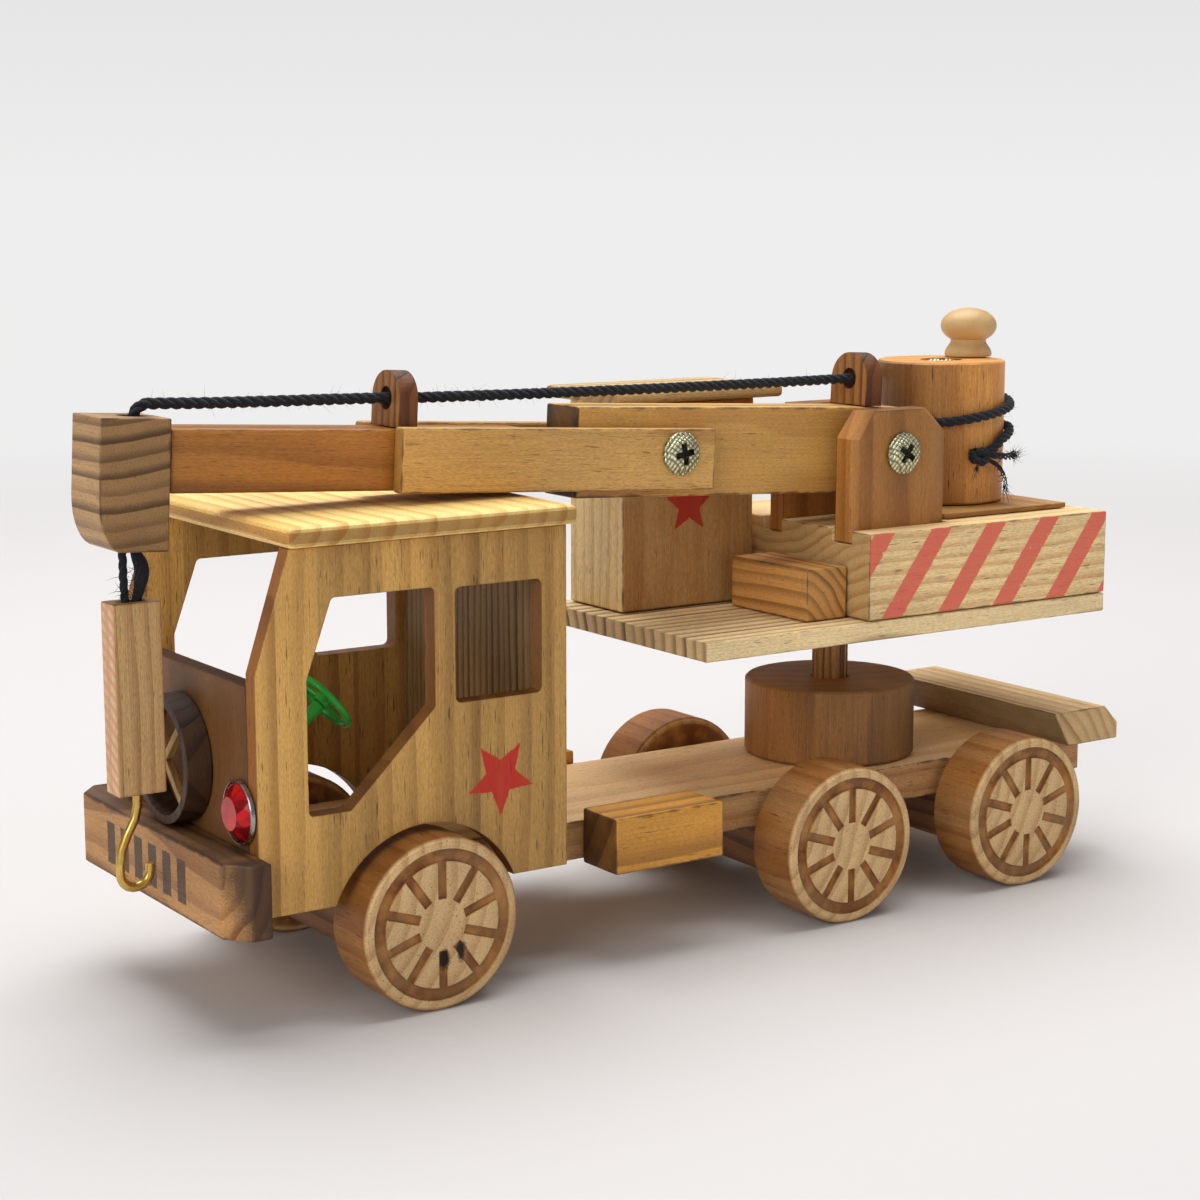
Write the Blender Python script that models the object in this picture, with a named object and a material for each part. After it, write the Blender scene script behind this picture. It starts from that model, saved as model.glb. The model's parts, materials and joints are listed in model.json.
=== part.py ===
"""Wooden toy crane truck: flatbed truck, slewing platform, folding jib and a string winch.

The truck faces -X, its left side is -Y and +Z is up. Sizes are in millimetres, measured from a
point on the ground under the middle of the truck, and become metres when a mesh is made.
"""

from math import acos, atan2, cos, degrees, hypot, pi, radians, sin

import bmesh
import bpy
from mathutils import Matrix, Vector

MM = 0.001
GAP = 0.3  # left between two pieces that touch

# Wheels
WHEEL_R = 20.0
WHEEL_W = 15.3
WHEEL_FACE_Y = 43.4
AXLES = {"front": -77.0, "middle": 42.1, "rear": 102.5}
AXLE_R = 3.0
GROOVE = 0.9  # depth of the carving on a wheel's face
SPOKES = 10

# Chassis
CHASSIS_Y = 25.5
CHASSIS_Z = (23.5, 33.0)
CHASSIS_X = (-118.7, 139.0)
BLOCK_HALF = 11.0
BLOCK_Z = 10.0
BUMPER_X = (-128.4, -119.1)
BUMPER_Y = (38.0, 43.7)
BUMPER_Z = (24.1, 40.9)
TANK_X = (-27.7, 4.1)
TANK_Y = (25.8, 40.2)
TANK_Z = (22.6, 36.3)
TAIL_Y = 34.7
TAIL_X = 120.2

# Driver's cab
PANEL = 4.6
CAB_Y = 36.5
CAB_X = (-118.7, -39.1)
CAB_Z = (26.4, 107.0)
WAIST_Z = 77.2
SCREEN_X = -110.0  # top of the sloping windscreen pillar
ARCH_R = 25.0
ARCH_Z = 17.0
ROOF_X = (-112.0, -38.0)
ROOF_Y = 40.3
ROOF_T = 4.7
RING_R = (12.8, 14.8)
RING_DEPTH = 6.0
LAMP_R = 7.4
LAMP_Y = 29.2
LAMP_Z = 49.1
STEER_AT = (-90.8, -14.0, 67.9)
STEER_R = 7.6
STEER_LEAN = 51.0  # of the wheel's plane below the horizontal, in degrees

# Slewing platform
SLEW_X = 69.8
TURN_R = 22.8
TURN_Z = 53.5
POST_R = 4.8
DECK_X = (1.5, 136.0)
DECK_Y = 36.0
DECK_Z = (70.0, 74.9)
WEIGHT_X = 52.6
WEIGHT_Z = 97.4
STEP_X = (38.9, 51.9)
STEP_Y = (-28.0, 3.5)
STEP_Z = 88.4
BOX_X = (8.0, 50.0)
BOX_Y = (9.0, 33.5)
BOX_Z = 129.0
BOX_ROOF_X = (2.6, 55.7)
BOX_ROOF_Y = (3.8, 37.0)
BOX_ROOF_T = 3.2

# Winch
WINCH_X = 107.5
WINCH_R = 17.3
WINCH_Z = (99.3, 137.3)
PLATE_X = (87.0, 130.5)
PLATE_Y = 26.0
KNOB_AT = (120.5, 3.5)
KNOB_R = 7.7
KNOT_ANGLE = -98.0
KNOT_Z = 112.4

# Boom and jib, beside the middle of the platform
BOOM_Y = -10.5
LUFF = (69.2, 116.3)
BOOM_TILT = 2.8
BOOM_HALF = (7.1, 11.0)
BOOM_X = (-93.0, 11.8)
CHEEK_IN = 10.7
CHEEK_T = 7.3
CHEEK_X = (53.3, 85.0)
CHEEK_Z = (94.0, 127.4)
JIB_AT = -65.7  # jib pivot, along the boom from the luffing pivot
JIB_TILT = 3.2
JIB_X = (-77.5, 10.9)
JIB_Z = (-9.0, 6.0)
JIB_T = 4.1
STICK_X = (-131.7, -38.0)
STICK_Z = (-8.7, 5.3)
TIP_X = (-148.1, -132.0)
TIP_Z = (-21.1, 7.6)
TIP_HALF = 8.0
BORE_X = -137.8
BORE_R = 3.3
EYE_HOLE = 2.7
SCREW_HEAD = (5.3, 1.9)
SHANK_R = 2.2

# String and hook
STRING_R = 1.3
FALL_R = 1.15
FALLS = (1.8, 1.45)  # half the distance between the two falls, at the tip and at the block
BLOCK = (5.6, 3.6)
HOOK_BLOCK_Z = (52.0, 94.6)
HOOK_R = 1.1

FLOOR = Vector((0.0, 0.0, 0.0))


def clear_scene():
    for obj in list(bpy.data.objects):
        bpy.data.objects.remove(obj, do_unlink=True)


def linear(value):
    if value <= 0.04045:
        return value / 12.92
    return ((value + 0.055) / 1.055) ** 2.4


def make_material(name, colour, roughness, metallic):
    material = bpy.data.materials.new(name)
    material.use_nodes = True
    shader = material.node_tree.nodes["Principled BSDF"]
    rgb = [linear(int(colour[i:i + 2], 16) / 255) for i in (1, 3, 5)]
    shader.inputs["Base Color"].default_value = (*rgb, 1.0)
    shader.inputs["Roughness"].default_value = roughness
    shader.inputs["Metallic"].default_value = metallic
    return material


def add_object(name, bm, colour, at=FLOOR, tilt=0.0, roughness=0.6, metallic=0.0):
    """Turns a mesh in millimetres, drawn about `at`, into a named object standing there."""
    bmesh.ops.recalc_face_normals(bm, faces=bm.faces)
    bmesh.ops.scale(bm, vec=(MM, MM, MM), verts=bm.verts)
    mesh = bpy.data.meshes.new(name)
    bm.to_mesh(mesh)
    bm.free()
    obj = bpy.data.objects.new(name, mesh)
    bpy.context.scene.collection.objects.link(obj)
    obj.data.materials.append(make_material(name + "_finish", colour, roughness, metallic))
    obj.location = Vector(at) * MM
    obj.rotation_euler = (0.0, radians(tilt), 0.0)
    return obj


def loft(rings):
    """Closed solid through rings of points, all of one length."""
    bm = bmesh.new()
    loops = [[bm.verts.new(p) for p in ring] for ring in rings]
    count = len(rings[0])
    for low, high in zip(loops, loops[1:]):
        for i in range(count):
            j = (i + 1) % count
            bm.faces.new((low[i], low[j], high[j], high[i]))
    bm.faces.new(list(reversed(loops[0])))
    bm.faces.new(loops[-1])
    return bm


def soften(bm, width, segments=2, test=None):
    """Rounds the sharp edges; `test` picks edges by the place of their middle."""
    edges = []
    for edge in bm.edges:
        middle = (edge.verts[0].co + edge.verts[1].co) / 2
        if edge.calc_face_angle(0.0) > 0.5 and (test is None or test(middle)):
            edges.append(edge)
    bmesh.ops.bevel(bm, geom=edges, offset=width, segments=segments, profile=0.5,
                    affect="EDGES", clamp_overlap=True)
    return bm


def block(x, y, z, edge=0.5, segments=2):
    bm = loft([[(x[0], y[0], h), (x[1], y[0], h), (x[1], y[1], h), (x[0], y[1], h)] for h in z])
    bm.normal_update()
    return soften(bm, edge, segments) if edge else bm


def slab(outline, y, edge=0.0):
    """Side-view outline (x, z) given a thickness along Y."""
    bm = loft([[(px, depth, pz) for px, pz in outline] for depth in y])
    bm.normal_update()
    bmesh.ops.recalc_face_normals(bm, faces=bm.faces)
    return soften(bm, edge) if edge else bm


def lathe(profile, segments=72, axis="Z", at=(0.0, 0.0, 0.0), turn=0.0):
    """Closed solid of revolution; the profile (radius, height) starts and ends on the axis."""
    bm = bmesh.new()
    rings = []
    for radius, height in profile:
        if radius == 0.0:
            rings.append([bm.verts.new((0.0, 0.0, height))])
            continue
        ring = []
        for i in range(segments):
            angle = 2 * pi * i / segments + turn
            ring.append(bm.verts.new((radius * cos(angle), radius * sin(angle), height)))
        rings.append(ring)
    for low, high in zip(rings, rings[1:]):
        for i in range(segments):
            j = (i + 1) % segments
            corners = [low[i % len(low)], low[j % len(low)], high[j % len(high)], high[i % len(high)]]
            corners = list(dict.fromkeys(corners))
            if len(corners) > 2:
                bm.faces.new(corners)
    turns = {"Z": Matrix(), "Y": Matrix.Rotation(pi / 2, 4, "X"), "X": Matrix.Rotation(-pi / 2, 4, "Y")}
    bm.transform(Matrix.Translation(at) @ turns[axis])
    return bm


def tube(outer, inner, z, segments=72):
    """Closed ring of rectangular section about Z."""
    bm = bmesh.new()
    rings = []
    for radius, height in ((outer, z[0]), (outer, z[1]), (inner, z[1]), (inner, z[0])):
        ring = []
        for i in range(segments):
            angle = 2 * pi * i / segments
            ring.append(bm.verts.new((radius * cos(angle), radius * sin(angle), height)))
        rings.append(ring)
    for k in range(4):
        low = rings[k]
        high = rings[(k + 1) % 4]
        for i in range(segments):
            j = (i + 1) % segments
            bm.faces.new((low[i], low[j], high[j], high[i]))
    return bm


def rod(radius, start, end, segments=32):
    """Plain cylinder between two points."""
    start = Vector(start)
    run = Vector(end) - start
    bm = lathe([(0.0, 0.0), (radius, 0.0), (radius, run.length), (0.0, run.length)], segments)
    bm.transform(Matrix.Translation(start) @ run.to_track_quat("Z", "Y").to_matrix().to_4x4())
    return bm


def combine(obj, cutters, operation="DIFFERENCE"):
    """Cuts or joins meshes, drawn about the object's own origin, with the exact solver."""
    for bm in cutters:
        bmesh.ops.recalc_face_normals(bm, faces=bm.faces)
        bmesh.ops.scale(bm, vec=(MM, MM, MM), verts=bm.verts)
        mesh = bpy.data.meshes.new("cutter")
        bm.to_mesh(mesh)
        bm.free()
        cutter = bpy.data.objects.new("cutter", mesh)
        cutter.hide_render = True
        cutter.display_type = "WIRE"
        bpy.context.scene.collection.objects.link(cutter)
        cutter.matrix_world = obj.matrix_basis
        modifier = obj.modifiers.new("cut", "BOOLEAN")
        modifier.solver = "EXACT"
        modifier.operation = operation
        modifier.object = cutter
        bpy.context.view_layer.update()
        done = obj.evaluated_get(bpy.context.evaluated_depsgraph_get())
        result = bpy.data.meshes.new_from_object(done)
        result.name = obj.name
        obj.modifiers.clear()
        obj.data = result
        bpy.data.objects.remove(cutter, do_unlink=True)


def cross(arm, reach, z):
    """Plus-shaped prism about Z: arms `arm` wide on each side of the middle and `reach` long."""
    outline = [(arm, arm), (arm, reach), (-arm, reach), (-arm, arm), (-reach, arm), (-reach, -arm),
               (-arm, -arm),
               (-arm, -reach), (arm, -reach), (arm, -arm), (reach, -arm), (reach, arm)]
    return loft([[(x, y, h) for x, y in outline] for h in z])


def rounded(outline, radius, steps=4):
    """The outline with every corner turned into an arc."""
    points = []
    count = len(outline)
    for i in range(count):
        corner = Vector(outline[i])
        before = (Vector(outline[i - 1]) - corner).normalized()
        after = (Vector(outline[(i + 1) % count]) - corner).normalized()
        half = before.angle(after) / 2
        reach = radius * abs(cos(half) / sin(half))
        centre = corner + (before + after).normalized() * (radius / sin(half))
        start = corner + before * reach - centre
        end = corner + after * reach - centre
        a0 = atan2(start.y, start.x)
        sweep = (atan2(end.y, end.x) - a0 + pi) % (2 * pi) - pi
        for k in range(steps + 1):
            angle = a0 + sweep * k / steps
            points.append((centre.x + radius * cos(angle), centre.y + radius * sin(angle)))
    return points


def cord(name, points, radius, colour="#1d1d2c"):
    """Length of string through the points, a closed tube."""
    curve = bpy.data.curves.new(name, "CURVE")
    curve.dimensions = "3D"
    spline = curve.splines.new("POLY")
    spline.points.add(len(points) - 1)
    for knot, point in zip(spline.points, points):
        knot.co = (*(Vector(point) * MM), 1.0)
    curve.bevel_depth = radius * MM
    curve.bevel_resolution = 2
    curve.use_fill_caps = True
    obj = bpy.data.objects.new(name, curve)
    bpy.context.scene.collection.objects.link(obj)
    curve.materials.append(make_material(name + "_finish", colour, 0.95, 0.0))
    return obj


# Places that several pieces share ---------------------------------------------------------------

def on_beam(pivot, tilt, x, z):
    """World (x, z) of a point given along and above a tilted beam's pivot."""
    a = radians(tilt)
    return (pivot[0] + x * cos(a) + z * sin(a), pivot[1] - x * sin(a) + z * cos(a))


JIB = on_beam(LUFF, BOOM_TILT, JIB_AT, 0.0)
TIP = on_beam(JIB, JIB_TILT, BORE_X, TIP_Z[0])
HOOK_X = TIP[0]
BOOM_AT = (LUFF[0], BOOM_Y, LUFF[1])
JIB_PIVOT = (JIB[0], BOOM_Y, JIB[1])
HOOK_AT = (HOOK_X, BOOM_Y, TIP[1])
WIND_R = WINCH_R + STRING_R + 0.2


# Truck ------------------------------------------------------------------------------------------

def build_chassis():
    add_object("chassis_board", block(CHASSIS_X, (-CHASSIS_Y, CHASSIS_Y), CHASSIS_Z), "#a57f5a")
    for name, x in AXLES.items():
        top = CHASSIS_Z[0] - GAP
        bm = block((-BLOCK_HALF, BLOCK_HALF), (-24.0, 24.0), (BLOCK_Z - WHEEL_R, top - WHEEL_R), 0.4)
        holder = add_object(name + "_axle_block", bm, "#7a4d28", (x, 0.0, WHEEL_R))
        combine(holder, [rod(AXLE_R + GAP, (0, -30, 0), (0, 30, 0), 32)])
    low, high = BUMPER_Y
    nose, back = BUMPER_X
    outline = [(nose, -low), (nose + 4.7, -high), (back, -high), (back, high), (nose + 4.7, high), (nose, low)]
    bm = loft([[(x, y, z) for x, y in outline] for z in BUMPER_Z])
    bm.normal_update()
    add_object("front_bumper", soften(bm, 0.5), "#a8733c")
    for side, sign in (("left", -1), ("right", 1)):
        y = sorted((sign * TANK_Y[0], sign * TANK_Y[1]))
        add_object("fuel_tank_" + side, block(TANK_X, y, TANK_Z, 0.7), "#a9783f")
    base = CHASSIS_Z[1] + GAP
    profile = [(TAIL_X, 42.9), (TAIL_X + 5.6, base), (TAIL_X + 24.1, base), (TAIL_X + 24.1, 37.9),
               (TAIL_X + 19.1, 42.9)]
    add_object("tail_block", slab(profile, (-TAIL_Y, TAIL_Y), 0.4), "#b98a55")


def wheel_mesh(sign):
    """Wheel about Y, carved on the outer face, with a blind bore for its axle."""
    h = WHEEL_W
    inner, outer = 0.73 * WHEEL_R, 0.875 * WHEEL_R
    profile = [(0.0, 9.0), (AXLE_R + GAP, 9.0), (AXLE_R + GAP, 0.0), (WHEEL_R - 0.8, 0.0), (WHEEL_R, 0.8),
               (WHEEL_R, h - 0.9), (WHEEL_R - 0.9, h), (outer, h), (outer, h - GROOVE), (inner, h - GROOVE),
               (inner, h), (0.0, h)]
    bm = lathe(profile, 60)
    bm.transform(Matrix.Rotation(-sign * pi / 2, 4, "X"))
    return bm


def spoke_cut(sign, angle):
    run = (0.3 * WHEEL_R, 0.76 * WHEEL_R)
    half = 0.055 * WHEEL_R
    bm = block(run, (-half, half), (WHEEL_W - GROOVE + 0.12, WHEEL_W + 1.0), 0.0)
    bm.transform(Matrix.Rotation(-sign * pi / 2, 4, "X") @ Matrix.Rotation(angle, 4, "Z"))
    return bm


def build_wheels():
    inside = WHEEL_FACE_Y - WHEEL_W
    for name, x in AXLES.items():
        reach = inside + 8.5
        add_object(name + "_axle", rod(AXLE_R, (0, -reach, 0), (0, reach, 0), 32), "#b98b57", (x, 0.0, WHEEL_R))
        for side, sign in (("left", -1), ("right", 1)):
            bm = wheel_mesh(sign)
            wheel = add_object(f"{name}_wheel_{side}", bm, "#b98a55", (x, sign * inside, WHEEL_R))
            combine(wheel, [spoke_cut(sign, 2 * pi * (i + 0.5) / SPOKES) for i in range(SPOKES)])


def side_panel(name, sign):
    outline = [(SCREEN_X, CAB_Z[1]), (CAB_X[0], 80.2), (CAB_X[0], CAB_Z[0]), (CAB_X[1], CAB_Z[0]),
               (CAB_X[1], CAB_Z[1])]
    y = sorted((sign * CAB_Y, sign * (CAB_Y - PANEL)))
    panel = add_object(name, slab(outline, y, 0.3), "#c19a5b")
    wide = (y[0] - 2.0, y[1] + 2.0)
    front, rear = -106.4, -74.3
    door = [(front, 78.0), (front, 47.6), (-96.0, 47.6), (rear, 68.4), (rear, 95.6), (-100.0, 95.6)]
    window = [(-69.0, 68.6), (-46.0, 68.6), (-46.0, 95.1), (-69.0, 95.1)]
    arch = rod(ARCH_R, (AXLES["front"], y[0] - 2.0, ARCH_Z), (AXLES["front"], y[1] + 2.0, ARCH_Z), 96)
    combine(panel, [arch, slab(rounded(door, 1.2), wide), slab(rounded(window, 1.5), wide)])


def build_cab():
    side_panel("cab_side_left", -1)
    side_panel("cab_side_right", 1)
    inside = CAB_Y - PANEL - GAP
    base = CHASSIS_Z[1] + GAP
    front = (CAB_X[0], CAB_X[0] + PANEL)
    add_object("cab_front_panel", block(front, (-inside, inside), (base, WAIST_Z), 0.4), "#a97f49")
    back = (CAB_X[1] - PANEL, CAB_X[1])
    add_object("cab_back_panel", block(back, (-inside, inside), (base, CAB_Z[1]), 0.3), "#8a6a48")
    floor = CAB_Z[1] + GAP
    bm = block(ROOF_X, (-ROOF_Y, ROOF_Y), (floor, floor + ROOF_T), 1.9, 4)
    add_object("cab_roof", bm, "#d9b06c")


def build_grille_and_lamps():
    outer = RING_R[1]
    centre = (CAB_X[0] - GAP, 0.0, BUMPER_Z[1] + GAP + outer)
    facing = Matrix.Rotation(-pi / 2, 4, "Y")
    ring = tube(outer, RING_R[0], (0.0, RING_DEPTH), 48)
    ring.transform(facing)
    add_object("grille_ring", ring, "#6f4a2a", centre)
    bars = cross(0.9, RING_R[0] - 0.4, (RING_DEPTH - 2.6, RING_DEPTH - 0.9))
    bars.transform(facing @ Matrix.Rotation(pi / 4, 4, "Z"))
    add_object("grille_bars", bars, "#b98a55", centre)
    gem = [(0.0, 0.0), (LAMP_R, 0.0), (LAMP_R, 1.1), (LAMP_R - 0.9, 1.5), (LAMP_R - 3.2, 3.4), (0.0, 3.6)]
    for side, sign in (("left", -1), ("right", 1)):
        bm = lathe(gem, 12, turn=pi / 12)
        bm.transform(facing)
        at = (CAB_X[0] - GAP, sign * LAMP_Y, LAMP_Z)
        add_object("headlamp_" + side, bm, "#b01018", at, roughness=0.12)


def build_steering():
    lean = radians(STEER_LEAN)
    normal = Vector((sin(lean), 0.0, cos(lean)))  # out of the wheel's plane, towards the driver
    at = Vector(STEER_AT)
    thick = 0.9
    rings = []
    for i in range(32):
        angle = 2 * pi * i / 32
        out = Vector((cos(angle), sin(angle), 0.0))
        rings.append([out * (STEER_R + thick * cos(t)) + Vector((0, 0, thick * sin(t)))
                      for t in [2 * pi * k / 8 for k in range(8)]])
    bm = bmesh.new()
    loops = [[bm.verts.new(p) for p in ring] for ring in rings]
    for i in range(32):
        for k in range(8):
            m = (k + 1) % 8
            n = (i + 1) % 32
            bm.faces.new((loops[i][k], loops[n][k], loops[n][m], loops[i][m]))
    wheel = add_object("steering_wheel", bm, "#2fa336", at, STEER_LEAN, roughness=0.3)
    spokes = [rod(0.6, (cos(a), sin(a), 0.07), (STEER_R * cos(a), STEER_R * sin(a), 0.07), 16)
              for a in (0.16, 0.16 + 2 * pi / 3, 0.16 + 4 * pi / 3)]
    combine(wheel, [lathe([(0.0, -1.1), (2.0, -1.1), (2.0, 1.1), (0.0, 1.1)], 32)] + spokes, "UNION")
    start = at - normal * (1.1 + GAP)
    run = (start.x - (CAB_X[0] + PANEL + GAP)) / normal.x - 1.4
    end = start - normal * run
    add_object("steering_column", rod(1.5, start, end, 24), "#2fa336", roughness=0.3)


# Slewing platform -------------------------------------------------------------------------------

def build_turntable():
    base = CHASSIS_Z[1] + GAP
    drum = lathe([(0.0, base), (TURN_R - 0.6, base), (TURN_R, base + 0.6), (TURN_R, TURN_Z - 0.6),
                  (TURN_R - 0.6, TURN_Z), (0.0, TURN_Z)], 64, at=(SLEW_X, 0, 0))
    turntable = add_object("turntable_drum", drum, "#7d5735")
    combine(turntable, [rod(POST_R + GAP, (SLEW_X, 0, base + 4.0), (SLEW_X, 0, TURN_Z + 2.0), 48)])
    post = []
    for i in range(72):
        radius = POST_R - (0.35 if i % 4 in (0, 1) else 0.0)
        post.append((radius * cos(2 * pi * i / 72), radius * sin(2 * pi * i / 72)))
    bm = loft([[(x, y, z) for x, y in post] for z in (base + 4.3, DECK_Z[0] - GAP)])
    add_object("turntable_post", bm, "#b98a4e", (SLEW_X, 0.0, 0.0))


def build_platform():
    at = (SLEW_X, 0.0, 0.0)
    x = [v - SLEW_X for v in DECK_X]
    add_object("platform", block(x, (-DECK_Y, DECK_Y), DECK_Z, 0.4), "#c9a069", at)
    base = DECK_Z[1] + GAP
    x = [v - SLEW_X for v in BOX_X]
    add_object("operator_cab", block(x, BOX_Y, (base, BOX_Z), 0.5), "#c69a5c", at)
    x = [v - SLEW_X for v in BOX_ROOF_X]
    low = BOX_Z + GAP
    add_object("operator_cab_roof", block(x, BOX_ROOF_Y, (low, low + BOX_ROOF_T), 0.9), "#cfa76d", at)
    x = [v - SLEW_X for v in STEP_X]
    add_object("step_block", block(x, STEP_Y, (base, STEP_Z), 0.5), "#bb8d52", at)
    x = (WEIGHT_X - SLEW_X, DECK_X[1] - SLEW_X)
    weight = add_object("counterweight", block(x, (-DECK_Y, DECK_Y), (base, WEIGHT_Z), 0.5), "#cfa870", at)
    grooves = []
    for sign in (-1, 1):
        near = BOOM_Y + sign * (CHEEK_IN + CHEEK_T / 2)
        half = CHEEK_T / 2 + GAP
        run = (x[0] - 1.0, CHEEK_X[1] - SLEW_X + GAP)
        grooves.append(block(run, (near - half, near + half), (CHEEK_Z[0] - GAP, WEIGHT_Z + 1.0), 0.0))
    centre = WINCH_X - SLEW_X
    grooves.append(rod(SHANK_R + GAP, (centre, 0, WEIGHT_Z - 9.3), (centre, 0, WEIGHT_Z + 1.0)))
    combine(weight, grooves)
    x = [v - SLEW_X for v in PLATE_X]
    plate = block(x, (-PLATE_Y, PLATE_Y), (WEIGHT_Z + GAP, WINCH_Z[0] - GAP), 0.2, 1)
    plate = add_object("winch_plate", plate, "#a87a45", at)
    combine(plate, [rod(SHANK_R + GAP, (centre, 0, WEIGHT_Z - 1.0), (centre, 0, WINCH_Z[0] + 1.0))])


def cheek_outline(front, rear):
    """Bracket cheek seen from the side, its top corners cut off."""
    left, right = CHEEK_X
    low, high = CHEEK_Z
    return [(left + front, low), (right - rear, low), (right - rear, high - 6.3),
            (right - 6.6 - rear / 2, high), (left + 5.3 + front / 2, high), (left + front, high - 7.0)]


def build_bracket():
    for side, sign in (("left", -1), ("right", 1)):
        depths = [(CHEEK_IN, 0.0, 0.0), (CHEEK_IN + 5.4, 0.0, 0.0), (CHEEK_IN + CHEEK_T, 1.6, 6.2)]
        rings = []
        for depth, front, rear in depths:
            rings.append([(x - LUFF[0], sign * depth, z - LUFF[1]) for x, z in cheek_outline(front, rear)])
        bm = loft(rings)
        cheek = add_object("bracket_cheek_" + side, bm, "#a87a3c", BOOM_AT)
        y = (sign * (CHEEK_IN - 2), sign * (CHEEK_IN + CHEEK_T + 2))
        combine(cheek, [rod(SHANK_R + GAP, (0, y[0], 0), (0, y[1], 0))])


def add_screw(name, at, out, shank):
    """Flanged cross-head screw; `out` is the way its head faces."""
    radius, rise = SCREW_HEAD
    profile = [(0.0, -shank), (SHANK_R, -shank), (SHANK_R, 0.0), (radius, 0.0), (radius, 0.6),
               (radius * 0.86, rise * 0.72), (radius * 0.55, rise * 0.95), (0.0, rise)]
    spin = Vector(out).to_track_quat("Z", "Y").to_matrix().to_4x4()
    bm = lathe(profile, 28)
    bm.transform(spin)
    screw = add_object(name, bm, "#c9c7a8", at, roughness=0.35, metallic=1.0)
    recess = cross(0.55, 2.4, (rise - 1.3, rise + 1.0))
    recess.transform(spin @ Matrix.Rotation(pi / 5, 4, "Z"))
    combine(screw, [recess])


def build_screws():
    for side, sign in (("left", -1), ("right", 1)):
        y = BOOM_Y + sign * (CHEEK_IN + CHEEK_T + GAP)
        shank = CHEEK_IN + CHEEK_T + GAP - 2.0
        add_screw("bracket_screw_" + side, (LUFF[0], y, LUFF[1]), (0, sign, 0), shank)
        outer = BOOM_HALF[0] + GAP + JIB_T + GAP
        add_screw("jib_screw_" + side, (JIB[0], BOOM_Y + sign * outer, JIB[1]), (0, sign, 0), outer - 2.0)
    top = WINCH_Z[1] - 1.7
    add_screw("winch_screw", (WINCH_X, 0.0, top), (0, 0, 1), top - (WEIGHT_Z - 9.0))


# Winch ------------------------------------------------------------------------------------------

def build_winch():
    at = (WINCH_X, 0.0, 0.0)
    low, high = WINCH_Z
    profile = [(0.0, low), (WINCH_R - 0.5, low), (WINCH_R, low + 0.5), (WINCH_R, high - 0.5),
               (WINCH_R - 0.5, high), (0.0, high)]
    drum = add_object("winch_drum", lathe(profile, 60), "#9a6234", at)
    a = radians(KNOT_ANGLE)
    hole = rod(2.1, (7 * cos(a), 7 * sin(a), KNOT_Z), (20 * cos(a), 20 * sin(a), KNOT_Z))
    bore = rod(SHANK_R + GAP, (0, 0, low - 1.0), (0, 0, high + 1.0))
    seat = rod(SCREW_HEAD[0] + 0.4, (0, 0, high - 1.7 - GAP), (0, 0, high + 1.0), 48)
    combine(drum, [hole, bore, seat])
    base = high + GAP
    x = KNOB_AT[0] - WINCH_X
    ball = [(KNOB_R * cos(t), 8.4 + 5.0 * sin(t)) for t in [radians(a) for a in range(-45, 81, 18)]]
    foot = [(0.0, 0.0), (5.2, 0.0), (6.0, 0.7), (6.2, 1.8), (5.7, 2.9), (4.9, 3.5)]
    outline = [(r, z + base) for r, z in foot + ball + [(0.0, 13.3)]]
    add_object("winch_knob", lathe(outline, 36, at=(x, KNOB_AT[1], 0.0)), "#e0c49a", at)


def eyelet(name, x, z, half, hole, at, tilt):
    """Plate standing across the beam with a round top and one hole for the string."""
    top = z[1] - half
    outline = [(-half, z[0]), (half, z[0])]
    outline += [(half * cos(radians(a)), top + half * sin(radians(a))) for a in range(0, 181, 9)]
    bm = loft([[(depth, y, h) for y, h in outline] for depth in x])
    plate = add_object(name, bm, "#7c5234", at, tilt)
    combine(plate, [rod(EYE_HOLE, (x[0] - 2, 0, hole), (x[1] + 2, 0, hole))])


def build_boom():
    half, rise = BOOM_HALF
    rear = BOOM_X[1]
    outline = [(BOOM_X[0], -rise), (rear, -rise), (rear, rise - 3.4), (rear - 3.6, rise), (BOOM_X[0], rise)]
    boom = add_object("main_boom", slab(outline, (-half, half), 0.6), "#b58a4c", BOOM_AT, BOOM_TILT)
    holes = [rod(SHANK_R + GAP, (x, -12, 0), (x, 12, 0)) for x in (0.0, JIB_AT)]
    combine(boom, holes)
    eyelet("rear_eyelet", (-4.0, 1.3), (rise + GAP, 24.8), half, 18.0, BOOM_AT, BOOM_TILT)


def build_jib():
    near = BOOM_HALF[0] + GAP
    for side, sign in (("left", -1), ("right", 1)):
        y = sorted((sign * near, sign * (near + JIB_T)))
        bm = block(JIB_X, y, JIB_Z, 0.7)
        cheek = add_object("jib_cheek_" + side, bm, "#c39a5f", JIB_PIVOT, JIB_TILT)
        combine(cheek, [rod(SHANK_R + GAP, (0, y[0] - 2, 0), (0, y[1] + 2, 0))])
    half = BOOM_HALF[0] - 0.1
    add_object("jib_stick", block(STICK_X, (-half, half), STICK_Z, 0.6), "#965f2e", JIB_PIVOT, JIB_TILT)
    eyelet("front_eyelet", (-75.8, -71.0), (STICK_Z[1] + GAP, 18.4), 6.5, 12.0, JIB_PIVOT, JIB_TILT)
    # The tip's front lower corner is sanded to a quarter of an ellipse.
    corner = []
    for i in range(9):
        a = radians(90 * i / 8)
        corner.append((TIP_X[0] + 5.4 * (1 - cos(a)), -9.6 - 11.5 * sin(a)))
    outline = [(TIP_X[0], TIP_Z[1])] + corner + [(TIP_X[1], TIP_Z[0]), (TIP_X[1], TIP_Z[1])]
    tip = add_object("tip_block", slab(outline, (-TIP_HALF, TIP_HALF), 0.4), "#a9855a", JIB_PIVOT, JIB_TILT)
    combine(tip, [rod(BORE_R, (BORE_X, 0, TIP_Z[0] - 2), (BORE_X, 0, TIP_Z[1] + 2))])


# String and hook --------------------------------------------------------------------------------

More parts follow.
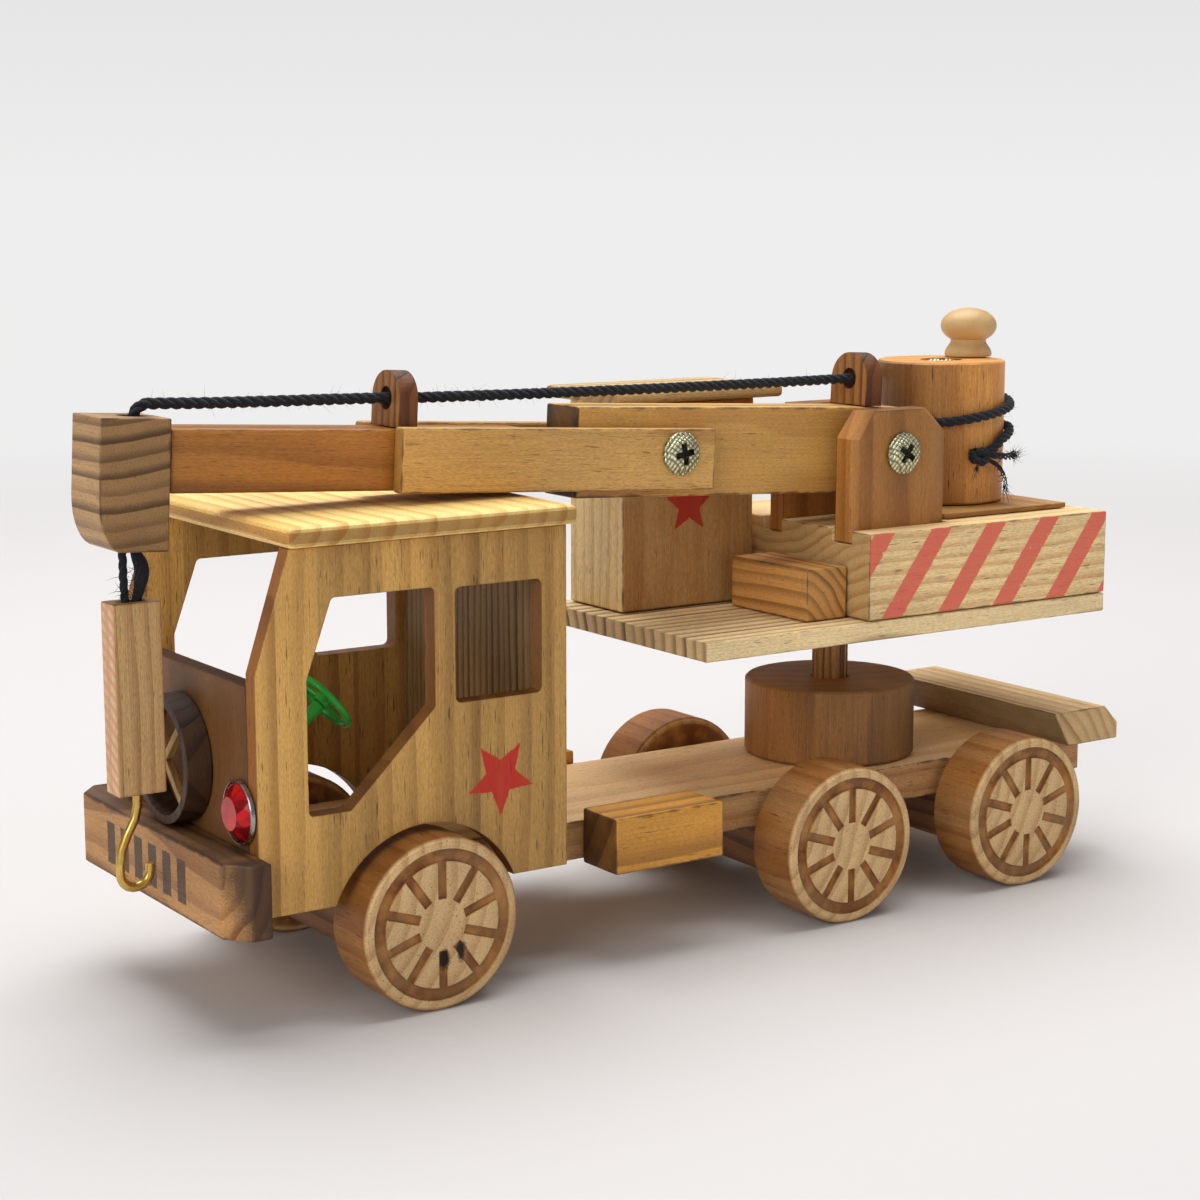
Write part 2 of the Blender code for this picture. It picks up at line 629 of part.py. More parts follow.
def evenly(points, step):
    """The same route with points no further apart than `step`."""
    route = [Vector(points[0])]
    for start, end in zip(points, points[1:]):
        start = Vector(start)
        end = Vector(end)
        parts = max(1, round((end - start).length / step))
        route += [start.lerp(end, (i + 1) / parts) for i in range(parts)]
    return route


def build_string():
    def jib(x, z):
        at = on_beam(JIB, JIB_TILT, x, z)
        return (at[0], BOOM_Y, at[1])

    def boom(x, z):
        at = on_beam(LUFF, BOOM_TILT, x, z)
        return (at[0], BOOM_Y, at[1])

    over = [jib(BORE_X, TIP_Z[0] + 1.0), jib(BORE_X, 6.0), jib(BORE_X + 0.5, 8.4), jib(BORE_X + 2.0, 9.9),
            jib(BORE_X + 4.5, 10.3), jib(-76.0, 12.0), jib(-70.7, 12.0)]
    cord("string_to_tip", evenly(over, 6.0), STRING_R)
    start = Vector(jib(-70.4, 12.0))
    end = Vector(boom(-4.3, 18.0))
    cord("string_between_eyelets", evenly([start, end], 7.0), STRING_R)
    # From the rear eyelet the string runs to the far side of the winch and meets it as a tangent.
    leave = Vector(boom(1.6, 18.0))
    dx = leave.x - WINCH_X
    dy = leave.y
    meet = degrees(atan2(dy, dx)) - degrees(acos(WIND_R / hypot(dx, dy)))
    z0 = leave.z - 1.0

    def wound(turned, z, radius=WIND_R):
        a = radians(meet - turned)
        return Vector((WINCH_X + radius * cos(a), radius * sin(a), z))

    cord("string_to_winch", evenly([boom(-4.0, 18.0), leave, wound(-0.6, z0)], 6.0), STRING_R)
    last = (meet - KNOT_ANGLE) % 360 + 360
    stops = [(0.6, z0), (176, 125.6), (262, 121.8), (400, 120.2), (last - 60, 118.8), (last - 30, 116.6),
             (last - 8, 113.2), (last, KNOT_Z)]
    route = []
    for (t0, h0), (t1, h1) in zip(stops, stops[1:]):
        parts = max(1, round((t1 - t0) / 9))
        route += [wound(t0 + (t1 - t0) * i / parts, h0 + (h1 - h0) * i / parts) for i in range(parts)]
    route.append(wound(last, KNOT_Z, WIND_R - 0.2))
    route.append(wound(last, KNOT_Z, WINCH_R - 3.0))
    cord("string_winding", route, STRING_R)

    wide, narrow = FALLS
    top = TIP[1] - 0.5
    end = HOOK_BLOCK_Z[1] + 0.8
    falls = [(-wide, top)]
    falls += [(-wide + (wide - narrow) * i / 3, top + (end - top) * i / 3) for i in (1, 2, 3)]
    falls += [(-narrow, end - 3.5)]
    low = end - 6.5
    falls += [(-narrow * cos(radians(a)), low - narrow * sin(radians(a))) for a in range(0, 181, 30)]
    falls += [(narrow, end - 3.5)]
    falls += [(narrow + (wide - narrow) * i / 3, end + (top - end) * i / 3) for i in (0, 1, 2, 3)]
    cord("string_falls", [(HOOK_X + x, BOOM_Y, z) for x, z in falls], FALL_R)


def build_hook():
    low, high = HOOK_BLOCK_Z
    at = (HOOK_X, BOOM_Y, 0.0)
    half_x, half_y = BLOCK
    bm = block((-half_x, half_x), (-half_y, half_y), (low, high), 0.4)
    hanger = add_object("hook_block", bm, "#d8b98c", at)
    # A slot for the two falls in the top and a bore for the hook's shank in the bottom.
    slot = block((-3.2, 3.2), (-1.6, 1.6), (high - 11.0, high + 2.0), 0.0)
    combine(hanger, [slot, rod(HOOK_R + GAP, (0, 0, low - 2), (0, 0, low + 8.3), 24)])
    bowl = (-1.0, 34.0)
    turn = 3.5
    route = [(0.0, low + 8.0), (0.0, low - 3.0), (-0.7, 46.0), (-2.6, 42.6), (-4.0, 39.4),
             (bowl[0] - turn, 36.0)]
    route += [(bowl[0] - turn * cos(radians(a)), bowl[1] - turn * sin(radians(a))) for a in range(0, 181, 20)]
    route += [(bowl[0] + turn + 0.1, 35.6)]
    points = [(HOOK_X + x, BOOM_Y, z) for x, z in route]
    hook = cord("hook", points, HOOK_R, "#c7a14a")
    shader = hook.data.materials[0].node_tree.nodes["Principled BSDF"]
    shader.inputs["Metallic"].default_value = 1.0
    shader.inputs["Roughness"].default_value = 0.25


clear_scene()
build_chassis()
build_wheels()
build_cab()
build_grille_and_lamps()
build_steering()
build_turntable()
build_platform()
build_bracket()
build_screws()
build_winch()
build_boom()
build_jib()
build_string()
build_hook()
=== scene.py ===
import json
import math
import random

import bpy
from mathutils import Euler, Matrix, Vector


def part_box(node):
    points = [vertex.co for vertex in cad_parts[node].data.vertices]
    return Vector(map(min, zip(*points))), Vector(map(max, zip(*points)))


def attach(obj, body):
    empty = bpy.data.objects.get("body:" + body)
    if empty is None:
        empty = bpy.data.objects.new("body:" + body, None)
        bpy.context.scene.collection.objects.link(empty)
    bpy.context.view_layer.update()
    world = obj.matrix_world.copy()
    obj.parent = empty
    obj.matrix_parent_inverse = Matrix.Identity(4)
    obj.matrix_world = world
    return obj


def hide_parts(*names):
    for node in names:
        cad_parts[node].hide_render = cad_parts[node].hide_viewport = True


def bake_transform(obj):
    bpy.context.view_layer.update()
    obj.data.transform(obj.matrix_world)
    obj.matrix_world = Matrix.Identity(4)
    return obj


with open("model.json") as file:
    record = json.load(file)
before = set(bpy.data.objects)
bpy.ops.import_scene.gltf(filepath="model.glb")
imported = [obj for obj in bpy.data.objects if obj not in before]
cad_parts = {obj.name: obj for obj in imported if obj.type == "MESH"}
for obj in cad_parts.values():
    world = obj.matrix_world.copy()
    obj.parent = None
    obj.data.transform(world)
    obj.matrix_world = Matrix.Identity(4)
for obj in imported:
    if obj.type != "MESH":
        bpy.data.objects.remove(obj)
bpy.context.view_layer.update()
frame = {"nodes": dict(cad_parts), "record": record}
mm = 0.001
print("frame loaded:", len(frame["nodes"]), "nodes")


def linearColour(code):  # sRGB hex to the linear values that sockets take
    parts = [int(code[i:i + 2], 16) / 255 for i in (1, 3, 5)]
    return tuple(p / 12.92 if p <= 0.04045 else ((p + 0.055) / 1.055) ** 2.4 for p in parts) + (1.0,)


def addNode(tree, kind, inputs=None, **settings):  # one node with its settings, its values and its links
    node = tree.nodes.new("ShaderNode" + kind)
    for name, value in settings.items():
        setattr(node, name, value)
    for key, value in (inputs or {}).items():
        if isinstance(value, bpy.types.Node):
            value = next(s for s in value.outputs if s.enabled)
        if isinstance(value, bpy.types.NodeSocket):
            tree.links.new(value, node.inputs[key])
        else:
            node.inputs[key].default_value = value
    return node


def newMaterial(name, values=None):  # a material with only a shader, whose fixed values are given
    material = bpy.data.materials.new(name)
    material.use_nodes = True
    tree = material.node_tree
    tree.nodes.clear()
    shader = addNode(tree, "BsdfPrincipled", values)
    addNode(tree, "OutputMaterial", {"Surface": shader})
    return material, tree, shader


def feed(tree, shader, sources):  # links what varies over the surface into the shader
    for name, node in sources.items():
        tree.links.new(next(s for s in node.outputs if s.enabled), shader.inputs[name])


def coat(piece, material):  # the piece's only material
    piece.data.materials.clear()
    piece.data.materials.append(material)


def pick(piece):  # selects this piece and nothing else
    bpy.ops.object.select_all(action="DESELECT")
    bpy.context.view_layer.objects.active = piece
    piece.select_set(True)


# camera, floor and light

cameraLook = {"place": (-340.0, -494.6, 181.0), "yaw": 34.1, "pitch": -9.49, "lens": 72.3}
studio = {"floorRadius": 30.0, "floor": "#d2cfce", "sky": "#f0efef", "seenSky": (0.99, 0.77),
          "skyLight": 0.38, "fade": (0.45, 1.3),
          "softboxes": {"topSoftbox": ((0.15, 0.35, 1.5), 1.5, 31.0),  # place, size and watts, in metres
                        "sideSoftbox": ((-1.75, -0.95, 0.9), 1.0, 15.0)}}


def paperSweep():  # matt white card that fades into the sky's own glow far off, so no horizon shows
    material, tree, shader = newMaterial("paperSweep", {"Roughness": 0.8})
    shader.inputs["Base Color"].default_value = linearColour(studio["floor"])
    where = addNode(tree, "TexCoord").outputs["Object"]
    out = addNode(tree, "VectorMath", {0: where}, operation="LENGTH")
    far = addNode(tree, "MapRange", {0: out, 1: studio["fade"][0], 2: studio["fade"][1]},
                  interpolation_type="SMOOTHSTEP")
    glow = addNode(tree, "Emission", {"Color": linearColour(studio["sky"]), "Strength": studio["seenSky"][0]})
    mixed = addNode(tree, "MixShader", {0: far, 1: shader, 2: glow})
    end = next(n for n in tree.nodes if n.type == "OUTPUT_MATERIAL")
    tree.links.new(mixed.outputs[0], end.inputs["Surface"])
    return material


def setStudio():
    bpy.ops.object.select_all(action="DESELECT")
    turn = (math.radians(90 + cameraLook["pitch"]), 0, -math.radians(cameraLook["yaw"]))
    bpy.ops.object.camera_add(location=Vector(cameraLook["place"]) * mm, rotation=turn)
    camera = bpy.context.object
    camera.data.sensor_width = 36.0
    camera.data.lens = cameraLook["lens"]
    camera.data.clip_start = 0.01
    camera.data.clip_end = 100.0
    bpy.context.scene.camera = camera
    bpy.ops.mesh.primitive_circle_add(vertices=96, radius=studio["floorRadius"], fill_type="NGON")
    floor = bpy.context.object
    floor.name = "floor"
    coat(floor, paperSweep())
    world = bpy.data.worlds.new("lightTent")
    world.use_nodes = True
    back = world.node_tree.nodes["Background"]
    back.inputs["Color"].default_value = linearColour(studio["sky"])
    # the sky looks brighter than it lights
    seen = addNode(world.node_tree, "LightPath").outputs["Is Camera Ray"]
    up = addNode(world.node_tree, "SeparateXYZ", {0: addNode(world.node_tree,
                                                             "TexCoord").outputs["Generated"]})
    shown = addNode(world.node_tree, "MapRange", {0: up.outputs[2], 2: 0.22, 3: studio["seenSky"][0],
                                                  4: studio["seenSky"][1]})
    strength = addNode(world.node_tree, "MapRange", {0: seen, 3: studio["skyLight"], 4: shown})
    world.node_tree.links.new(strength.outputs[0], back.inputs["Strength"])
    bpy.context.scene.world = world
    for name, (at, size, watts) in studio["softboxes"].items():
        bpy.ops.object.light_add(type="AREA", location=at)
        light = bpy.context.object
        light.name = name
        light.data.size = size
        light.data.energy = watts
        light.rotation_euler = (Vector((0, 0, 0.06)) - Vector(at)).to_track_quat("-Z", "Y").to_euler()
    bpy.context.scene.view_settings.view_transform = "Standard"


setStudio()
print("studio set")


# wood: sawn from a tree, so its rings, fibres and end grain come from one solid pattern

grainTurn = {"X": (0, 0, 0), "Y": (0, 0, -90), "Z": (0, 90, 0)}  # brings the grain onto the pattern's X
pine = {"grain": "X", "tilt": 0.0, "early": "#d8ad6c", "late": "#94662f", "ring": 3.4, "pith": (14, 90),
        "waver": 7.0, "bend": (110.0, 22.0), "board": 0.0, "boardAxis": 2, "boardTone": 0.22, "fibre": 0.30,
        "blotch": 0.30, "fleck": 0.6, "pores": 0.22, "endTone": 0.62, "cut": None, "cutTone": 0.62,
        "burnEdge": 0.0, "burnFace": None, "burnFaceShare": 1.0, "burnEnd": 0.0, "sweep": None,
        "burn": "#301c10", "duct": "#5d3a1c", "worn": "#7a4a22", "relief": 0.16, "rough": 0.52,
        "rounding": 0.45, "soft": (0.35, 0.88)}


# the turn that lays the grain along X, and the piece's middle and half size in it
def grainFrame(piece, look):
    turn = Vector(grainTurn[look["grain"]])
    turn.y -= look["tilt"]
    turn = Euler([math.radians(a) for a in turn])
    spun = turn.to_matrix()
    points = [spun @ (v.co * 1000) for v in piece.data.vertices]
    low = Vector([min(p[i] for p in points) for i in range(3)])
    high = Vector([max(p[i] for p in points) for i in range(3)])
    return turn, spun, (low + high) / 2, (high - low) / 2


def growWood(tree, piece, look):  # colour, relief and the masks that paint and stain need
    turn, spun, middle, half = grainFrame(piece, look)
    seed = sum(ord(c) * (i + 3) for i, c in enumerate(piece.name)) % 997
    where = addNode(tree, "TexCoord")
    local = addNode(tree, "Mapping", {"Vector": where.outputs["Object"], "Scale": (1000, 1000, 1000),
                                      "Rotation": turn, "Location": -middle})
    grown = addNode(tree, "VectorMath", {0: local, 1: (seed * 1.7, seed * 0.31, -seed * 0.23)},
                    operation="ADD")
    if look["board"]:  # glued from strips, each sawn from another place in the log
        apart = addNode(tree, "SeparateXYZ", {0: local})
        strip = addNode(tree, "Math", {0: apart.outputs[look["boardAxis"]], 1: 1 / look["board"], 2: 0.37},
                        operation="MULTIPLY_ADD")
        strip = addNode(tree, "Math", {0: strip}, operation="FLOOR")
        chance = addNode(tree, "TexWhiteNoise", {"W": strip}, noise_dimensions="1D")
        grown = addNode(tree, "VectorMath", {0: chance.outputs["Color"], 1: (300, 60, 60), 2: grown},
                        operation="MULTIPLY_ADD")
        origin = addNode(tree, "VectorMath", {0: chance.outputs["Color"], 1: (0, 9, 9), 2: local},
                         operation="MULTIPLY_ADD")
    else:
        chance, origin = None, local
    length, width = look["bend"]
    stretched = addNode(tree, "Mapping", {"Vector": grown, "Scale": (1 / length, 1 / width, 1 / width)})
    drift = addNode(tree, "TexNoise", {"Vector": stretched, "Scale": 1.0, "Detail": 2.0, "Roughness": 0.45})
    waver = look["waver"]
    fromPith = (0.0, -0.5 * waver - look["pith"][0], -0.5 * waver - look["pith"][1])
    moved = addNode(tree, "VectorMath", {0: drift.outputs["Color"], 1: (0, waver, waver), 2: fromPith},
                    operation="MULTIPLY_ADD")
    moved = addNode(tree, "VectorMath", {0: origin, 1: (0.012, 1, 1), 2: moved}, operation="MULTIPLY_ADD")
    radius = addNode(tree, "VectorMath", {0: moved}, operation="LENGTH")
    years = addNode(tree, "Math", {0: radius, 1: look["ring"]}, operation="DIVIDE")
    season = addNode(tree, "Math", {0: years}, operation="FRACT")
    year = addNode(tree, "Math", {0: years}, operation="FLOOR")
    yearTone = addNode(tree, "TexWhiteNoise", {"W": year}, noise_dimensions="1D").outputs["Value"]
    start, full = look["soft"]
    rise = addNode(tree, "MapRange", {0: season, 1: start, 2: full}, interpolation_type="SMOOTHSTEP")
    fall = addNode(tree, "MapRange", {0: season, 1: 0.93, 2: 1.0, 3: 1.0, 4: 0.0},
                   interpolation_type="SMOOTHSTEP")
    late = addNode(tree, "Math", {0: rise, 1: fall}, operation="MULTIPLY")
    strength = addNode(tree, "Math", {0: yearTone, 1: 0.6, 2: 0.4}, operation="MULTIPLY_ADD")
    late = addNode(tree, "Math", {0: late, 1: strength}, operation="MULTIPLY")
    # fibres about 0.4 mm apart
    fine = addNode(tree, "Mapping", {"Vector": grown, "Scale": (0.045, 2.6, 2.6)})
    fibre = addNode(tree, "TexNoise", {"Vector": fine, "Scale": 1.0, "Detail": 4.0,
                                       "Roughness": 0.6}).outputs[0]
    # resin ducts, 4 to 8 mm long
    dashes = addNode(tree, "Mapping", {"Vector": grown, "Scale": (0.2, 2.8, 2.8)})
    duct = addNode(tree, "TexNoise", {"Vector": dashes, "Scale": 1.0, "Detail": 1.0}).outputs[0]
    duct = addNode(tree, "MapRange", {0: duct, 1: 0.66, 2: 0.76, 4: look["fleck"]})
    cloud = addNode(tree, "Mapping", {"Vector": grown, "Scale": (0.018, 0.06, 0.06)})
    cloud = addNode(tree, "TexNoise", {"Vector": cloud, "Scale": 1.0, "Detail": 3.0}).outputs[0]
    colour = addNode(tree, "Mix", {0: late, 6: linearColour(look["early"]), 7: linearColour(look["late"])},
                     data_type="RGBA")
    tone = addNode(tree, "Math", {0: fibre, 1: look["fibre"] * 2, 2: 1 - look["fibre"]},
                   operation="MULTIPLY_ADD")
    tone = addNode(tree, "Math", {0: cloud, 1: look["blotch"] * 2, 2: addNode(
        tree, "Math", {0: tone, 1: look["blotch"]}, operation="SUBTRACT")}, operation="MULTIPLY_ADD")
    if chance:
        tone = addNode(tree, "Math", {0: chance.outputs["Value"], 1: look["boardTone"] * 2, 2: addNode(
            tree, "Math", {0: tone, 1: look["boardTone"]}, operation="SUBTRACT")}, operation="MULTIPLY_ADD")
    # open pores, about 1 mm long
    pores = addNode(tree, "Mapping", {"Vector": grown, "Scale": (0.9, 6.5, 6.5)})
    pores = addNode(tree, "TexNoise", {"Vector": pores, "Scale": 1.0, "Detail": 2.0}).outputs[0]
    pores = addNode(tree, "MapRange", {0: pores, 1: 0.36, 2: 0.6, 3: 1 - look["pores"],
                                       4: 1.0 + 0.25 * look["pores"]})
    tone = addNode(tree, "Math", {0: tone, 1: pores}, operation="MULTIPLY")
    colour = addNode(tree, "VectorMath", {0: colour, "Scale": tone}, operation="SCALE")
    colour = addNode(tree, "Mix", {0: duct, 6: colour, 7: linearColour(look["duct"])}, data_type="RGBA")
    # sawn ends drink more stain; the cut, below, darkens faces turned across its axis, partly saw scorch on
    # the cut edges of thin boards and partly painted shade
    facing = addNode(tree, "VectorMath", {0: where.outputs["Normal"],
                                          1: spun.transposed() @ Vector((1, 0, 0))},
                     operation="DOT_PRODUCT")
    end = addNode(tree, "Math", {0: facing}, operation="ABSOLUTE")
    end = addNode(tree, "MapRange", {0: end, 1: 0.6, 2: 0.85})
    oil = (1.03, 1.0, 0.84)  # the oil yellows all of it
    endOil = tuple(o * look["endTone"] ** p for o, p in zip(oil, (0.9, 1.1, 1.45)))
    endColour = addNode(tree, "Mix", {0: end, 6: (*oil, 1), 7: (*endOil, 1)}, data_type="RGBA")
    colour = addNode(tree, "Mix", {0: 1.0, 6: colour, 7: endColour}, data_type="RGBA", blend_type="MULTIPLY")
    # painted shade with saw scorch: faces turned across the cut axis are coloured darker
    if look["cut"]:
        across = addNode(tree, "VectorMath", {0: where.outputs["Normal"], 1: look["cut"]},
                         operation="DOT_PRODUCT")
        across = addNode(tree, "Math", {0: across}, operation="ABSOLUTE")
        across = addNode(tree, "MapRange", {0: across, 1: 0.6, 2: 0.3})
        scorchAndShadePatches = addNode(tree, "Math", {0: cloud, 1: 1.2, 2: 0.35}, operation="MULTIPLY_ADD")
        across = addNode(tree, "Math", {0: across, 1: scorchAndShadePatches}, operation="MULTIPLY", use_clamp=True)
        scorchAndShadeColour = tuple(look["cutTone"] ** p for p in (0.8, 1.2, 1.6)) + (1,)
        scorchAndShadeColour = addNode(tree, "Mix", {0: across, 6: (1, 1, 1, 1), 7: scorchAndShadeColour}, data_type="RGBA")
        colour = addNode(tree, "Mix", {0: 1.0, 6: colour, 7: scorchAndShadeColour}, data_type="RGBA",
                         blend_type="MULTIPLY")
    if look["sweep"]:  # painted light and shade: one side of a round piece is coloured lighter and the other darker, by the way its face turns
        turned = addNode(tree, "VectorMath", {0: where.outputs["Normal"], 1: look["sweep"][0]},
                         operation="DOT_PRODUCT")
        turned = addNode(tree, "Math", {0: turned, 1: look["sweep"][1], 2: 1.0}, operation="MULTIPLY_ADD")
        colour = addNode(tree, "VectorMath", {0: colour, "Scale": turned}, operation="SCALE")
    if look["burnEnd"]:  # scorched near the two ends of the grain
        away = addNode(tree, "SeparateXYZ", {0: addNode(tree, "VectorMath", {0: local},
                                                        operation="ABSOLUTE")})
        away = addNode(tree, "Math", {0: half[0], 1: away.outputs[0]}, operation="SUBTRACT")
        away = addNode(tree, "Math", {0: cloud, 1: look["burnEnd"] * 1.6, 2: away}, operation="MULTIPLY_ADD")
        away = addNode(tree, "Math", {0: fibre, 1: look["burnEnd"] * 0.8, 2: away}, operation="MULTIPLY_ADD")
        away = addNode(tree, "MapRange", {0: away, 1: look["burnEnd"] * 2.1, 2: look["burnEnd"] * 1.3,
                                          4: 0.8})
        colour = addNode(tree, "Mix", {0: away, 6: colour, 7: linearColour(look["burn"])}, data_type="RGBA")
    if look["burnEdge"]:  # the middle one of the three ways to the box's faces is the way to the nearest edge
        away = addNode(tree, "VectorMath", {0: local}, operation="ABSOLUTE")
        away = addNode(tree, "VectorMath", {0: half, 1: away}, operation="SUBTRACT")
        away = addNode(tree, "SeparateXYZ", {0: away})
        least = addNode(tree, "Math", {0: away.outputs[0], 1: away.outputs[1]}, operation="MINIMUM")
        most = addNode(tree, "Math", {0: away.outputs[0], 1: away.outputs[1]}, operation="MAXIMUM")
        most = addNode(tree, "Math", {0: most, 1: away.outputs[2]}, operation="MINIMUM")
        edge = addNode(tree, "Math", {0: least, 1: most}, operation="MAXIMUM")
        ragged = addNode(tree, "TexNoise", {"Vector": local, "Scale": 0.22, "Detail": 3.0}).outputs[0]
        reach = addNode(tree, "Math", {0: ragged, 1: 2.6 * look["burnEdge"], 2: -0.7 * look["burnEdge"]},
                        operation="MULTIPLY_ADD")
        reach = addNode(tree, "Math", {0: reach, 1: 0.15}, operation="MAXIMUM")
        charred = addNode(tree, "Math", {0: edge, 1: reach}, operation="DIVIDE")
        charred = addNode(tree, "MapRange", {0: charred, 1: 1.0, 2: 0.1, 3: 0.0, 4: 0.85},
                          interpolation_type="SMOOTHSTEP")
        colour = addNode(tree, "Mix", {0: charred, 6: colour, 7: linearColour(look["burn"])},
                         data_type="RGBA")
    if look["burnFace"]:
        side = addNode(tree, "VectorMath", {0: where.outputs["Normal"], 1: look["burnFace"]},
                       operation="DOT_PRODUCT")
        side = addNode(tree, "MapRange", {0: side, 1: 0.5, 2: 0.8})
        soot = addNode(tree, "TexNoise", {"Vector": local, "Scale": 0.09, "Detail": 4.0}).outputs[0]
        soot = addNode(tree, "MapRange", {0: soot, 1: 0.32, 2: 0.55, 3: 0.45, 4: look["burnFaceShare"]})
        side = addNode(tree, "Math", {0: side, 1: soot}, operation="MULTIPLY")
        colour = addNode(tree, "Mix", {0: side, 6: colour, 7: linearColour(look["burn"])}, data_type="RGBA")
    rise = addNode(tree, "Math", {0: late, 1: 0.7, 2: fibre}, operation="MULTIPLY_ADD")
    rise = addNode(tree, "Math", {0: duct, 1: -0.8, 2: rise}, operation="MULTIPLY_ADD")
    return {"where": where, "local": local, "colour": colour, "height": rise, "late": late, "fibre": fibre,
            "cloud": cloud, "end": end, "look": look}


def finishWood(tree, shader, wood):  # oiled and brushed: satin, with raised late wood and eased edges
    look = wood["look"]
    eased = addNode(tree, "Bevel", {"Radius": look["rounding"] * mm}, samples=4)
    flat = addNode(tree, "NewGeometry")
    worn = addNode(tree, "VectorMath", {0: eased, 1: flat.outputs["Normal"]}, operation="DOT_PRODUCT")
    worn = addNode(tree, "MapRange", {0: worn, 1: 0.995, 2: 0.86, 4: 0.35})
    colour = addNode(tree, "Mix", {0: worn, 6: wood["colour"], 7: linearColour(look["worn"])},
                     data_type="RGBA")
    rough = addNode(tree, "Math", {0: wood["fibre"], 1: 0.3, 2: look["rough"] - 0.12},
                    operation="MULTIPLY_ADD")
    bump = addNode(tree, "Bump", {"Height": wood["height"], "Strength": 0.8,
                                  "Distance": look["relief"] * mm, "Normal": eased})
    feed(tree, shader, {"Base Color": colour, "Roughness": rough, "Normal": bump})
    shader.inputs["Specular IOR Level"].default_value = 0.4


def sawnMaterial(piece, look, paint=None):
    look = {**pine, **look}
    # oil gives a satin, warm face
    material, tree, shader = newMaterial("oiledPine_" + piece.name, {"IOR": 1.5})
    wood = growWood(tree, piece, look)
    if paint:
        paint(tree, wood)
    finishWood(tree, shader, wood)
    coat(piece, material)
    return material


# paint on the wood: stars, hazard stripes and stencil bars, stamped through a mask so the grain still shows

def starMask(tree, across, up, size):  # five points, the first one up
    sector = math.tau / 5
    inner = Vector((math.cos(sector / 2), math.sin(sector / 2))) * size * 0.45
    turn = addNode(tree, "Math", {0: across, 1: up}, operation="ARCTAN2")
    turn = addNode(tree, "Math", {0: turn, 1: 1 / sector, 2: 0.5}, operation="MULTIPLY_ADD")
    turn = addNode(tree, "Math", {0: turn}, operation="FRACT")
    turn = addNode(tree, "Math", {0: turn, 1: 0.5}, operation="SUBTRACT")
    turn = addNode(tree, "Math", {0: turn}, operation="ABSOLUTE")
    turn = addNode(tree, "Math", {0: turn, 1: sector}, operation="MULTIPLY")
    flat = addNode(tree, "CombineXYZ", {0: across, 1: up})
    out = addNode(tree, "VectorMath", {0: flat}, operation="LENGTH")
    x = addNode(tree, "Math", {0: addNode(tree, "Math", {0: turn}, operation="COSINE"), 1: out},
                operation="MULTIPLY")
    y = addNode(tree, "Math", {0: addNode(tree, "Math", {0: turn}, operation="SINE"), 1: out},
                operation="MULTIPLY")
    side = (Vector((size, 0)) - inner).length
    part = addNode(tree, "Math", {0: x, 1: -inner.y / side, 2: size * inner.y / side},
                   operation="MULTIPLY_ADD")
    return addNode(tree, "Math", {0: y, 1: (inner.x - size) / side, 2: part}, operation="MULTIPLY_ADD")


# ink, thinner over hard late wood and on one face only
def stamp(tree, wood, mask, code, facing, cover=0.93):
    grit = addNode(tree, "TexNoise", {"Vector": wood["local"], "Scale": 1.3, "Detail": 4.0}).outputs[0]
    ragged = addNode(tree, "Math", {0: grit, 1: 0.9, 2: -0.45}, operation="MULTIPLY_ADD")
    mask = addNode(tree, "Math", {0: mask, 1: ragged}, operation="ADD")
    mask = addNode(tree, "MapRange", {0: mask, 1: -0.08, 2: 0.14})
    side = addNode(tree, "VectorMath", {0: wood["where"].outputs["Normal"], 1: facing},
                   operation="DOT_PRODUCT")
    side = addNode(tree, "MapRange", {0: side, 1: 0.8, 2: 0.9})
    mask = addNode(tree, "Math", {0: mask, 1: side}, operation="MULTIPLY")
    thin = addNode(tree, "Math", {0: wood["late"], 1: -0.16, 2: cover}, operation="MULTIPLY_ADD")
    thin = addNode(tree, "Math", {0: mask, 1: thin}, operation="MULTIPLY")
    wood["colour"] = addNode(tree, "Mix", {0: thin, 6: wood["colour"], 7: linearColour(code)},
                             data_type="RGBA")


def sized(tree, wood, middle):  # the piece's own place in millimetres from a middle, as separate X, Y and Z
    moved = addNode(tree, "Mapping", {"Vector": wood["where"].outputs["Object"], "Scale": (1000, 1000, 1000),
                                      "Location": [-m for m in middle]})
    return addNode(tree, "SeparateXYZ", {0: moved})


doorStar = {"middle": (-57.3, 0, 50.0), "size": 9.2, "red": "#c20f0a"}
cabStar = {"middle": (29.0, 0, 102.0), "size": 8.0, "red": "#b8190f"}
hazard = {"red": "#e4574a", "pitch": 19.1, "band": 7.0, "lean": 37.0, "start": -2.7, "outer": 30.0,
          "middle": (94.3, 0, 86.3)}
blockStripes = {"red": "#d98a78", "pitch": 5.2, "band": 2.5, "lean": 62.0, "middle": (-135.0, -10.5, 74.0)}
stencil = {"ink": "#33241a", "pitch": 7.8, "band": 4.5, "tall": 5.0, "span": 23.0, "middle": (0, 2.0, 32.2)}


def doorStarPaint(side):
    def paint(tree, wood):
        at = sized(tree, wood, doorStar["middle"])
        down = addNode(tree, "Math", {0: at.outputs[2], 1: -1}, operation="MULTIPLY")
        stamp(tree, wood, starMask(tree, at.outputs[0], down, doorStar["size"]), doorStar["red"],
              (0, side, 0))
    return paint


def cabStarPaint(tree, wood):
    at = sized(tree, wood, cabStar["middle"])
    stamp(tree, wood, starMask(tree, at.outputs[0], at.outputs[2], cabStar["size"]), cabStar["red"],
          (0, -1, 0))


